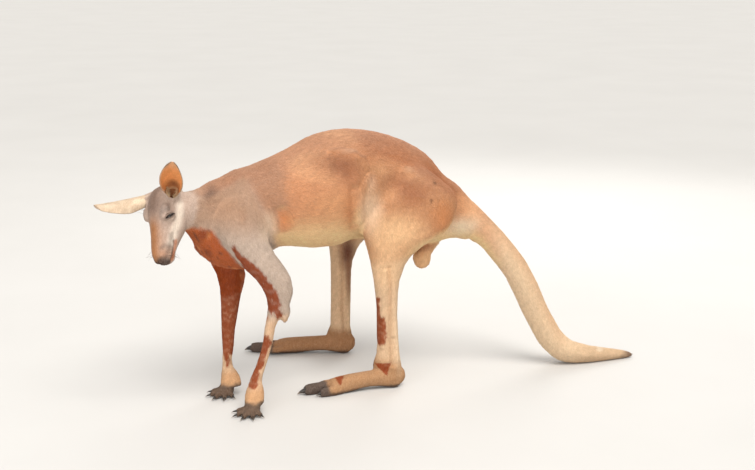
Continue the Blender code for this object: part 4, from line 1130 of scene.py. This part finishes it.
# painted shade in the deep bottom of each ear's cup
blend(ear_in * soft(ear_along - 0.16, 0.22) * soft(ear_wide, 0.7) * 0.75, paint(128, 70, 38))
blend(ear_in * step(np.abs(ear_wide), 0.70, 0.98) * 0.85, paint(244, 224, 200))
blend(ear_in * (1.0 - step(ear_along, -0.04, 0.10)) * 0.8, paint(238, 208, 172))
blend(ear_in * step(ear_along, 0.60, 1.0) * 0.6, paint(222, 190, 164))
blend(ear_out, paint(216, 198, 180))
blend(ear_out * step(wave(points, 0.02, 31), -0.3, 0.8) * 0.5, paint(244, 232, 216))
ear_edge = step(np.abs(ear_wide) + 0.5 * step(ear_along, 0.8, 1.0), 0.94, 1.0)
blend((ear_out + ear_in) * ear_edge * 0.7, paint(128, 106, 92))

tail_x = points[:, 0]
on_tail = spread_out(part("tail"), 12)
tail_top = step(normals[:, 2], -0.1, 0.7)
blend(on_tail * step(tail_x, 0.36, 0.48) * 0.85, paint(242, 222, 196))
warm_run = step(tail_x, 0.30, 0.50) * (1.0 - step(tail_x, 0.62, 0.70))
blend(on_tail * warm_run * tail_top * 0.6, paint(220, 174, 138))
blend(on_tail * step(tail_x, 0.66, 0.78) * 0.50, paint(196, 166, 136))
blend(place((0.802, 0.075, 0.045), (0.020, 0.03, 0.012)) * on_tail * 0.8, paint(255, 250, 240))
blend(on_tail * step(tail_x + ragged * 0.01, 0.885, 0.915) * 0.85, paint(112, 84, 68))
sole_dark = part("foot", "toe") * (1.0 - step(points[:, 2] + ragged * 0.004, 0.006, 0.020))
blend(sole_dark * 0.85, paint(70, 56, 50))
toe_near = spread_out(part("toe"), 14)
blend(toe_near * 0.9, paint(88, 76, 72))
paw = spread_out(part("hand"), 10)
blend(paw * step(0.050 - points[:, 2] - ragged * 0.004, 0.0, 0.016) * 0.9, paint(76, 64, 60))
tone = np.clip(tone * (1.0 + 0.06 * wave(points, 0.012, 41))[:, None], 0.0, 1.0)

# %% [markdown]
# The markings are stored on the points of the skin, and the shader adds what is finer than the net:
# the grain of short hair, single darker hairs and a soft sheen.

# %% Store the markings and make the skin's finish
LIGHT = np.array((0.94, 0.88, 0.78))      # how bright and how warm the coat is under this light


def carry(mesh, name, values):
    """Stores a number or a colour at each point of a mesh."""
    if values.ndim == 1:
        store = mesh.attributes.new(name, "FLOAT", "POINT")
        store.data.foreach_set("value", values.astype(np.float32))
    else:
        store = mesh.attributes.new(name, "FLOAT_COLOR", "POINT")
        colours = np.ones((len(values), 4), np.float32)
        colours[:, :3] = values * LIGHT
        store.data.foreach_set("color", colours.ravel())


def fur_finish(name, grain, depth):
    """Short fur: the carried colour, broken by hair-fine noise, dull but with some sheen."""
    fur = Finish(name)
    hairs = fur.noise(grain, 4.0, 0.7, (1.0, 1.0, 0.35))
    clumps = fur.noise(grain * 0.22, 3.0)
    colour = fur.carried("tone", "Color")
    darker = fur.tint(colour, (0.66, 0.60, 0.56))
    lighter = fur.mix(0.06, colour, (0.94, 0.86, 0.76))
    mixed = fur.mix(fur.between(hairs, 0.36, 0.66), darker, lighter)
    mixed = fur.mix(0.55, colour, mixed)
    wetness = fur.carried("wet")
    fur.set(Base_Color=mixed, Roughness=0.78 - wetness * 0.30)
    fur.set(Normal=fur.bump(hairs * 0.6 + clumps * 0.8, depth, 0.7))
    fur.shader.inputs["Specular IOR Level"].default_value = 0.10
    fur.shader.inputs["Sheen Weight"].default_value = 0.02
    fur.shader.inputs["Sheen Roughness"].default_value = 0.5
    return fur.material


carry(skin_mesh, "tone", tone)
carry(skin_mesh, "wet", wet)
skin_mesh.materials.append(fur_finish("skin_under_fur", 260.0, 0.0012))
print("markings laid on", len(points), "points")

# %% [markdown]
# ## The lie of the coat
# Hair points away from the nose: back over the head and neck, along the back to the tail, down the
# flanks and legs, and out along the digits. Each part gets its own direction, and the directions are
# spread over the net like the colours, so that the coat turns gently from part to part.

# %% The lie of the coat
TAIL_PATH = [(0.240, 0.030, 0.565), (0.353, 0.037, 0.513), (0.442, 0.040, 0.424), (0.524, 0.044, 0.297),
             (0.594, 0.048, 0.152), (0.676, 0.055, 0.052), (0.827, 0.086, 0.022), (0.941, 0.121, 0.006)]
TO_TOES = {"left": (-0.968, -0.250, 0.0), "right": (-1.0, 0.009, 0.0)}
TO_FINGERS = {"left": (-0.407, -0.913, -0.35), "right": (-0.530, -0.848, -0.35)}
LIES = {
    "neck": (0.72, 0.42, -0.50), "chest": (0.70, 0.38, -0.60), "belly": (0.84, 0.38, -0.38),
    "pelvis": (0.86, 0.14, -0.48), "scrotum": (0.0, 0.0, -1.0),
    "thigh_left": (0.42, -0.10, -0.90), "thigh_right": (0.30, 0.10, -0.94),
    "shank": (0.06, 0.0, -1.0),
    "upper_arm_left": (0.42, -0.20, -0.88), "upper_arm_right": (0.20, -0.12, -0.97),
    "forearm_left": (-0.22, -0.10, -0.97), "forearm_right": (-0.05, -0.14, -0.99),
    "foot_left": TO_TOES["left"], "toe_left": TO_TOES["left"], "foot_right": TO_TOES["right"],
    "hand_left": TO_FINGERS["left"], "hand_right": TO_FINGERS["right"],
}


def along_path(points, path):
    """The direction of the nearest run of a path."""
    path = np.asarray(path, float)
    best = np.full(len(points), 9.0)
    way = np.zeros((len(points), 3))
    for a, b in zip(path, path[1:]):
        run = b - a
        t = np.clip((points - a) @ run / (run @ run), 0.0, 1.0)
        distance = np.linalg.norm(points - a - t[:, None] * run, axis=1)
        way[distance < best] = unit(run)
        best = np.minimum(best, distance)
    return way


def on_surface(ways):
    """The part of each direction that lies in the skin."""
    return unit(ways - normals * (ways * normals).sum(axis=1)[:, None])


lie = np.tile(np.array((0.3, 0.0, -0.95)), (len(points), 1))
for start, way in LIES.items():
    lie[begins(label, start)] = unit(way)
for side in SIDES.values():
    lie[begins(label, "toe") & np.char.endswith(label, side)] = TO_TOES[side]
on_a_tail = begins(label, "tail")
lie[on_a_tail] = along_path(points[on_a_tail], TAIL_PATH)
back_over_head = -DOWN * 1.0 - OUT * (0.25 + 0.5 * step(-face_out, 0.0, 0.05))[:, None]
on_a_head = begins(label, "head")
lie[on_a_head] = unit(back_over_head)[on_a_head]
for _ in range(16):
    lie = np.where(on_body[:, None], unit(on_surface(lie) + neighbour_mean(lie, edges)), lie)
for hand, side in SIDES.items():
    root, way, cup, across = ear_frame(hand)
    leaf = begins(label, "ear") & np.char.endswith(label, side)
    lie[leaf] = unit(way + across * (ear_wide[leaf] * 0.55)[:, None])
lie = on_surface(lie)
print("lie of the coat set on", len(lie), "points")

# %% [markdown]
# ## The coat itself
# A red kangaroo's hair is short and lies flat, so each tuft is a thin closed sliver: two corners and a
# ridge at the root, and one tip just clear of the skin. Tufts overlap like thatch. They are shortest
# and finest on the face, the hands and the feet. Their shading normals follow the skin, which keeps
# the form calm, and only a little of each tuft's own roundness is added.

# %% How long and dense the hair is
COAT = {
    # part: length, width, lift, tufts to a square centimetre
    "head": (0.0052, 0.00100, 0.15, 26.0), "neck": (0.0105, 0.00150, 0.15, 15.0),
    "chest": (0.0125, 0.00170, 0.15, 13.0), "belly": (0.0135, 0.00185, 0.13, 11.5),
    "pelvis": (0.0135, 0.00185, 0.13, 11.5), "thigh": (0.0125, 0.00175, 0.13, 12.0),
    "shank": (0.0085, 0.00140, 0.12, 15.0), "foot": (0.0060, 0.00115, 0.13, 17.0),
    "toe": (0.0042, 0.00100, 0.14, 20.0), "hand": (0.0042, 0.00095, 0.14, 24.0),
    "forearm": (0.0085, 0.00130, 0.12, 17.0), "upper": (0.0115, 0.00160, 0.13, 13.0),
    "scrotum": (0.0075, 0.00130, 0.14, 14.0), "tail": (0.0115, 0.00160, 0.13, 13.0),
    "ear": (0.0050, 0.00085, 0.14, 26.0), "lid": (0.0, 0.0, 0.0, 0.0),
}
dice = np.random.default_rng(7)
family = np.array([name.split("_")[0] for name in label])
rules = np.array([COAT[name] for name in family])
for _ in range(16):
    rules = np.where(on_body[:, None], 0.5 * rules + 0.5 * neighbour_mean(rules, edges), rules)
ear_rim = np.maximum(step(np.abs(ear_wide), 0.85, 0.97), step(ear_along, 0.93, 0.99))
rules[:, 0] *= 1.0 - 0.55 * ear_rim

bare = np.zeros(len(points))
bare = np.maximum(bare, (to_path(points, lips) < 0.0030) * on_face)
for hand in SIDES:
    middle, look, corner, height = eye_frame(hand)
    away = points - middle
    u, v = away @ corner, away @ height - 0.0022
    opening = (u / (SLIT_HALF + 0.0012)) ** 2 + (v / (SLIT_HIGH + 0.0014)) ** 2 < 1.0
    bare = np.maximum(bare, opening * (away @ look > 0.0) * (np.linalg.norm(away, axis=1) < 0.03))
    bare = np.maximum(bare, np.linalg.norm(points - on_head(0.2235, 0.0165, hand * 0.009), axis=1) < 0.0065)
nose_pad = on_face * step(face_down, 0.2150, 0.2185) * (face_out > 0.004)
bare = np.maximum(bare, nose_pad > 0.5)
bare = np.maximum(bare, (points[:, 2] < 0.0045) & (normals[:, 2] < -0.5))
fringe = step(face_down, 0.150, 0.215) * on_face
rules[:, 0] *= 1.0 - 0.45 * fringe
print("longest hair", round(float(rules[:, 0].max() * 1000), 1), "mm")

# %% Sow the tufts
skin_mesh.calc_loop_triangles()
triangles = np.empty(len(skin_mesh.loop_triangles) * 3, np.int32)
skin_mesh.loop_triangles.foreach_get("vertices", triangles)
triangles = triangles.reshape(-1, 3)
first, second, third = (points[triangles[:, k]] for k in range(3))
area = np.linalg.norm(np.cross(second - first, third - first), axis=1) / 2.0


def sow(chosen):
    """Roots spread evenly over the chosen triangles, with all that the skin carries there."""
    picked = triangles[chosen]
    wish = area[chosen] * 1e4 * rules[picked].mean(axis=1)[:, 3] * (bare[picked].max(axis=1) < 0.5)
    total = int(wish.sum())
    sums = np.cumsum(wish)
    spots = (np.arange(total) + dice.random(total)) * sums[-1] / total
    rows = picked[np.searchsorted(sums, spots).clip(0, len(picked) - 1)]
    a, b = dice.random((2, total))
    over = a + b > 1.0
    a, b = np.where(over, 1.0 - a, a), np.where(over, 1.0 - b, b)
    weights = np.stack((1.0 - a - b, a, b), axis=1)[:, :, None]

    def at(values):
        """What a table of the points holds at each root."""
        values = values[:, None] if values.ndim == 1 else values
        return (values[rows] * weights).sum(axis=1)

    sown = {"root": at(points), "normal": unit(at(normals)), "lie": at(lie), "tone": at(tone)}
    sown["wet"] = at(wet)[:, 0]
    sown["length"], sown["width"], sown["lift"] = at(rules)[:, :3].T
    return sown


def unwrap(root, normal, way):
    """A place from 0 to 1 for each root: round and along a limb, or two sides laid beside each other."""
    middle = root.mean(axis=0)
    axes = np.linalg.svd((root - middle)[::max(len(root) // 4000, 1)], full_matrices=False)[2]
    if way is None:
        flat = (root - middle) @ axes[:2].T
        flat = (flat - flat.min(axis=0)) / np.ptp(flat, axis=0).max()
        behind = normal @ axes[2] < 0.0
        return np.stack((flat[:, 1] * 0.96 + 0.01 + 0.5 * behind, flat[:, 0] * 0.96 + 0.01), axis=1)
    way = unit(way)
    along = root @ way
    share = (along - along.min()) / np.ptp(along)
    slices = np.clip((share * 24).astype(int), 0, 23)
    used = np.unique(slices)
    centres = np.array([root[slices == k].mean(axis=0) for k in used])
    centre = np.stack([np.interp(share * 24.0, used + 0.5, centres[:, k]) for k in range(3)], axis=1)
    first = unit(np.cross(way, (0.31, 0.85, 0.42)))
    second = np.cross(way, first)
    away = root - centre
    angle = np.arctan2(away @ second, away @ first) / (2.0 * math.pi) + 0.5
    return np.stack((angle * 0.98 + 0.005, share * 0.98 + 0.005), axis=1)


PATCH = 0.003         # size of a tuft's place on the map
SINK = 0.0005         # how deep a root sits in the skin
SLIVER = ((0, 3, 2), (2, 3, 1), (0, 2, 1), (1, 3, 0))     # left, right, ridge and tip, closed


def tufts(name, chosen, way):
    """One coat piece: closed slivers over the chosen triangles."""
    sown = sow(chosen)
    root, normal = sown["root"], sown["normal"]
    count = len(root)
    lie_way = unit(sown["lie"] + 0.22 * dice.normal(size=(count, 3)))
    lie_way = unit(lie_way - normal * (lie_way * normal).sum(axis=1)[:, None])
    aside = np.cross(normal, lie_way)
    length = (sown["length"] * dice.uniform(0.70, 1.25, count))[:, None]
    width = (sown["width"] * dice.uniform(0.75, 1.25, count))[:, None]
    rise = (sown["lift"] * dice.uniform(0.55, 1.45, count) * (1.0 - 0.45 * sown["wet"]))[:, None]
    base = root - normal * SINK
    left = base - aside * width / 2.0
    right = base + aside * width / 2.0
    ridge = base + lie_way * length * 0.28 + normal * (length * rise * 0.42 + width * 0.30 + SINK * 0.6)
    tip = base + lie_way * length + normal * (length * rise + SINK)
    tip = tip + aside * width * dice.uniform(-0.6, 0.6, (count, 1))
    corners = np.stack((left, right, ridge, tip), axis=1).reshape(-1, 3) + SHIFT
    first = np.arange(count, dtype=np.int32)[:, None] * 4
    faces = np.concatenate([first + np.array(side, np.int32) for side in SLIVER], axis=1)
    mesh = bpy.data.meshes.new(name)
    mesh.vertices.add(count * 4)
    mesh.vertices.foreach_set("co", corners.ravel())
    mesh.loops.add(count * 12)
    mesh.loops.foreach_set("vertex_index", faces.ravel())
    mesh.polygons.add(count * 4)
    mesh.polygons.foreach_set("loop_start", np.arange(0, count * 12, 3, dtype=np.int32))
    mesh.polygons.foreach_set("use_smooth", np.ones(count * 4, bool))
    mesh.update(calc_edges=True)
    lean = np.stack((normal - aside * 0.42, normal + aside * 0.42, normal, normal + lie_way * 0.15), axis=1)
    mesh.normals_split_custom_set_from_vertices(unit(lean).reshape(-1, 3))
    places = unwrap(root, normal, way)[:, None, :] + np.array(((0, 0), (1, 0), (0.5, 0.4), (0.5, 1))) * PATCH
    map_layer = mesh.uv_layers.new(name="OFBake")
    map_layer.data.foreach_set("uv", places.reshape(-1, 2)[faces.ravel()].ravel())
    shade = dice.normal(1.0, 0.085, (count, 1, 1)) * np.array((0.88, 0.88, 1.0, 1.10)).reshape(1, 4, 1)
    carry(mesh, "tone", np.clip(sown["tone"][:, None, :] * shade, 0.0, 1.0).reshape(-1, 3))
    carry(mesh, "wet", np.repeat(sown["wet"], 4))
    mesh.materials.append(coat_finish)
    piece = bpy.data.objects.new(name, mesh)
    bpy.context.scene.collection.objects.link(piece)
    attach(piece, "root")
    print(name, count, "tufts,", count * 4, "triangles")
    return count * 4


# %% [markdown]
# The finish of the tufts takes the same carried colour as the skin. Only the finest variation is left
# to noise, and a little sheen makes the hair catch the light at grazing angles.

# %% The coat's finish and its pieces
short_fur = Finish("short_fur")
streak = short_fur.noise(700.0, 2.0, 0.6)
carried = short_fur.carried("tone", "Color")
pale = short_fur.mix(0.09, carried, (0.95, 0.86, 0.76))
dark = short_fur.tint(carried, (0.80, 0.75, 0.71))
dry = short_fur.mix(short_fur.between(streak, 0.35, 0.65), dark, pale)
wetness = short_fur.carried("wet")
short_fur.set(Base_Color=short_fur.mix(wetness, dry, carried), Roughness=0.74 - wetness * 0.30)
short_fur.shader.inputs["Specular IOR Level"].default_value = 0.10
short_fur.shader.inputs["Sheen Weight"].default_value = 0.02
short_fur.shader.inputs["Sheen Roughness"].default_value = 0.45
coat_finish = short_fur.material

part_of = label[triangles[:, 0]]
trunk_side = (points[triangles[:, 0]] - TRUNK_MIDDLE) @ ACROSS_TRUNK > 0.0


def these(*starts, side=None):
    """The triangles of the named parts, on one side or on both."""
    chosen = begins(part_of, *starts)
    return chosen & np.char.endswith(part_of, side) if side else chosen


total = tufts("coat_head", these("head"), DOWN)
total += tufts("coat_breast", these("neck", "chest"), (0.85, 0.48, 0.0))
for side, chosen in (("left", ~trunk_side), ("right", trunk_side)):
    total += tufts("coat_flank_" + side, these("belly", "pelvis") & chosen, (0.92, 0.38, 0.0))
    total += tufts("coat_thigh_" + side, these("thigh", side=side), (0.0, 0.0, 1.0))
    total += tufts("coat_shank_" + side, these("shank", side=side), (0.0, 0.0, 1.0))
    total += tufts("coat_foot_" + side, these("foot", "toe", side=side), TO_TOES[side])
    total += tufts("coat_upper_arm_" + side, these("upper", side=side), (0.0, 0.0, 1.0))
    total += tufts("coat_forearm_" + side, these("forearm", side=side), (0.0, 0.0, 1.0))
    total += tufts("coat_hand_" + side, these("hand", side=side), None)
    total += tufts("coat_ear_" + side, these("ear", side=side), None)
total += tufts("coat_tail", these("tail"), (0.85, 0.1, -0.5))
total += tufts("coat_scrotum", these("scrotum"), (0.0, 0.0, 1.0))
print("the whole coat:", total, "triangles")

# %% [markdown]
# Some hairs are long enough to stand alone: whiskers on the muzzle, a few over the eyes, lashes on
# the upper lids, and pale hairs that fold over the opening of each ear. Each is a closed three-sided
# spike that bends a little under its own weight.

# %% Whiskers, lashes and the hair of the ears
def hair(root, way, length, thick, sag, steps=5):
    """Corners and faces of one hair."""
    way = unit(way)
    first = unit(np.cross(way, (0.2, 0.3, 1.0)))
    second = np.cross(way, first)
    corners, faces = [], []
    for i in range(steps):
        t = i / steps
        middle = root + way * (length * t) + hang * (sag * length * t * t)
        for k in range(3):
            roll = 2.0 * math.pi * k / 3.0
            aside = first * math.cos(roll) + second * math.sin(roll)
            corners.append(middle + aside * thick * (1.0 - 0.75 * t))
    corners.append(root + way * length + hang * (sag * length))
    for i in range(steps - 1):
        for k in range(3):
            a, b = i * 3 + k, i * 3 + (k + 1) % 3
            faces.append((a, b, b + 3, a + 3))
    last = (steps - 1) * 3
    faces += [(2, 1, 0)] + [(last + k, last + (k + 1) % 3, last + 3) for k in range(3)]
    corners = np.array(corners)
    return corners, facing_out(corners, faces)


def long_hairs(name, hairs, colour):
    """One piece from many hairs."""
    corners, faces, base = [], [], 0
    for one, sides in hairs:
        corners.append(one)
        faces += [tuple(base + c for c in side) for side in sides]
        base += len(one)
    corners = np.concatenate(corners)
    piece = make_piece(name, corners, faces)
    carry(piece.data, "tone", np.tile(colour, (len(corners), 1)))
    carry(piece.data, "wet", np.zeros(len(corners)))
    piece.data.materials.append(coat_finish)
    print(name, len(hairs), "hairs")


bristles = []
for hand in SIDES:
    for row in range(3):
        for k in range(4):
            root = drawn_to_skin([on_head(0.178 + 0.010 * k, 0.016 - 0.009 * row, hand * 0.034)])[0]
            way = head_way(0.45 - 0.25 * k, 0.10 - 0.25 * row, hand * 1.0) + 0.06 * dice.normal(size=3)
            bristles.append(hair(root, way, dice.uniform(0.030, 0.052), 0.00042, 0.30))
    middle, look, corner, height = eye_frame(hand)
    for k in range(4):
        root = drawn_to_skin([middle + height * 0.017 + corner * (0.006 * k - 0.010) + look * 0.012])[0]
        bristles.append(hair(root, look + height * 0.7 + corner * 0.15 * (k - 1.5), 0.026, 0.00035, 0.20))
long_hairs("whiskers", bristles, paint(66, 50, 44))

LASHES = 26
lashes = []
for hand in SIDES:
    _, look, corner, height = eye_frame(hand)
    for k in range(LASHES):
        angle = math.pi * (0.06 + 0.88 * k / (LASHES - 1))
        u, root = on_slit(hand, angle, EYE_RADIUS)
        way = look * 0.75 - height * 0.30 + corner * (u / SLIT_HALF) * 0.45
        lashes.append(hair(root, way, 0.0085 + 0.002 * math.sin(angle), 0.00030, 0.15, 4))
long_hairs("lashes", lashes, paint(34, 25, 22))

EAR_HAIRS = 480
at_the_base = (ear_along > -0.12) & (ear_along < 0.13) & (np.abs(ear_wide) > 0.45)
for hand, side in SIDES.items():
    _, way, cup, across = ear_frame(hand)
    lining = np.flatnonzero((label == "ear_in_" + side) & at_the_base)
    hairs = []
    for spot in dice.choice(lining, EAR_HAIRS):
        inward = -across * np.sign(ear_wide[spot])
        lean = way * dice.uniform(0.5, 1.0) + inward * dice.uniform(0.2, 0.9) + cup * dice.uniform(-0.1, 0.25)
        hairs.append(hair(points[spot], lean, dice.uniform(0.007, 0.017), 0.00048, 0.0, 3))
    long_hairs("ear_hair_" + side, hairs, paint(246, 222, 188))

# %% [markdown]
# ## Eyes and claws
# The eyeballs are dark brown and wet. Almost nothing of them shows between the lids, but what does
# gives the face its life.

# %% Eyes
def eyeball(hand, side):
    """A ball whose points carry how far they are from the pupil."""
    middle, look, corner, height = eye_frame(hand)
    rings, turns = 40, 56
    radius = EYE_RADIUS - 0.0004
    corners, faces, along = [middle + look * radius], [], [0.0]
    for i in range(1, rings):
        angle = math.pi * i / rings
        for k in range(turns):
            roll = 2.0 * math.pi * k / turns
            aside = corner * math.cos(roll) + height * math.sin(roll)
            corners.append(middle + (look * math.cos(angle) + aside * math.sin(angle)) * radius)
            along.append(angle / math.pi)
    corners.append(middle - look * radius)
    along.append(1.0)
    for k in range(turns):
        following = (k + 1) % turns
        faces.append((0, 1 + k, 1 + following))
        last = 1 + (rings - 2) * turns
        faces.append((len(corners) - 1, last + following, last + k))
        for i in range(rings - 2):
            a, b = 1 + i * turns + k, 1 + i * turns + following
            faces.append((a, a + turns, b + turns, b))
    corners = np.array(corners)
    piece = make_piece("eyeball_" + side, corners, facing_out(corners, faces))
    carry(piece.data, "from_pupil", np.array(along))
    piece.data.materials.append(eye_finish)
    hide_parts("eye_" + side)


wet_eye = Finish("wet_eye")
from_pupil = wet_eye.carried("from_pupil")
rays = wet_eye.noise(900.0, 3.0) * 0.03
# pupil, edge of the pupil, iris, dark rim of the iris, white
stops = [(0.0, (0.002, 0.0015, 0.001)), (0.085, (0.003, 0.002, 0.0015)),
         (0.115, (0.035, 0.016, 0.007)), (0.21, (0.022, 0.010, 0.005)),
         (0.25, (0.004, 0.003, 0.002)), (0.34, (0.06, 0.035, 0.02))]
iris = wet_eye.node("ShaderNodeValToRGB", {"stops": stops}, {0: from_pupil + rays})
wet_eye.set(Base_Color=iris, Roughness=0.16, Coat_Weight=0.35)
wet_eye.shader.inputs["Coat Roughness"].default_value = 0.10
eye_finish = wet_eye.material
for hand, side in SIDES.items():
    eyeball(hand, side)

# %% [markdown]
# Claws are horn: nearly black at the root, paler and slightly clear at the worn tip, with fine
# streaks along their length. Each solid claw is rounded by subdivision, and its root is drawn back
# into the toe so that it grows out of the flesh.

# %% Claws
horn = Finish("claw_horn")
tip = horn.carried("from_root")
streaks = horn.noise(420.0, 4.0, 0.6, (0.25, 1.0, 1.0))
root_colour = horn.mix(streaks, (0.012, 0.009, 0.008), (0.050, 0.038, 0.030))
tip_colour = horn.mix(streaks, (0.16, 0.12, 0.085), (0.34, 0.27, 0.20))
horn.set(Base_Color=horn.mix(horn.between(tip + streaks * 0.25, 0.62, 1.15), root_colour, tip_colour))
horn.set(Roughness=horn.between(streaks, 0.2, 0.8, 0.26, 0.48), Normal=horn.bump(streaks, 0.0003, 0.6))
ROOT_DEEP = 0.007     # how far the root is drawn back into the toe
END = 0.002           # the length at each end that tells root from tip


def claw(node):
    """Dresses one solid claw."""
    form = welded(node)
    spots = np.array([v.co for v in form.verts])
    middle = spots.mean(axis=0)
    way = np.linalg.svd(spots - middle)[2][0]
    along = (spots - middle) @ way
    ends = [spots[along < along.min() + END], spots[along > along.max() - END]]
    if np.ptp(ends[0], axis=0).max() < np.ptp(ends[1], axis=0).max():
        way, along = -way, -along
    share = (along - along.min()) / np.ptp(along)
    roots = along < along.min() + 0.0022
    for corner, is_root in zip(form.verts, roots):
        if is_root:
            corner.co -= Vector(way) * ROOT_DEEP
    mesh = bpy.data.meshes.new(node.replace("claw", "horn"))
    form.to_mesh(mesh)
    form.free()
    mesh.polygons.foreach_set("use_smooth", np.ones(len(mesh.polygons), bool))
    carry(mesh, "from_root", share)
    piece = bpy.data.objects.new(mesh.name, mesh)
    bpy.context.scene.collection.objects.link(piece)
    round_off = piece.modifiers.new("round", "SUBSURF")
    round_off.levels = round_off.render_levels = 2
    mesh.materials.append(horn.material)
    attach(piece, "root")
    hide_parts(node)


claws = [node for node in sorted(frame["nodes"]) if node.startswith("claw_")]
for node in claws:
    claw(node)
print(len(claws), "claws and 2 eyes")

# %% The end
bpy.context.view_layer.update()
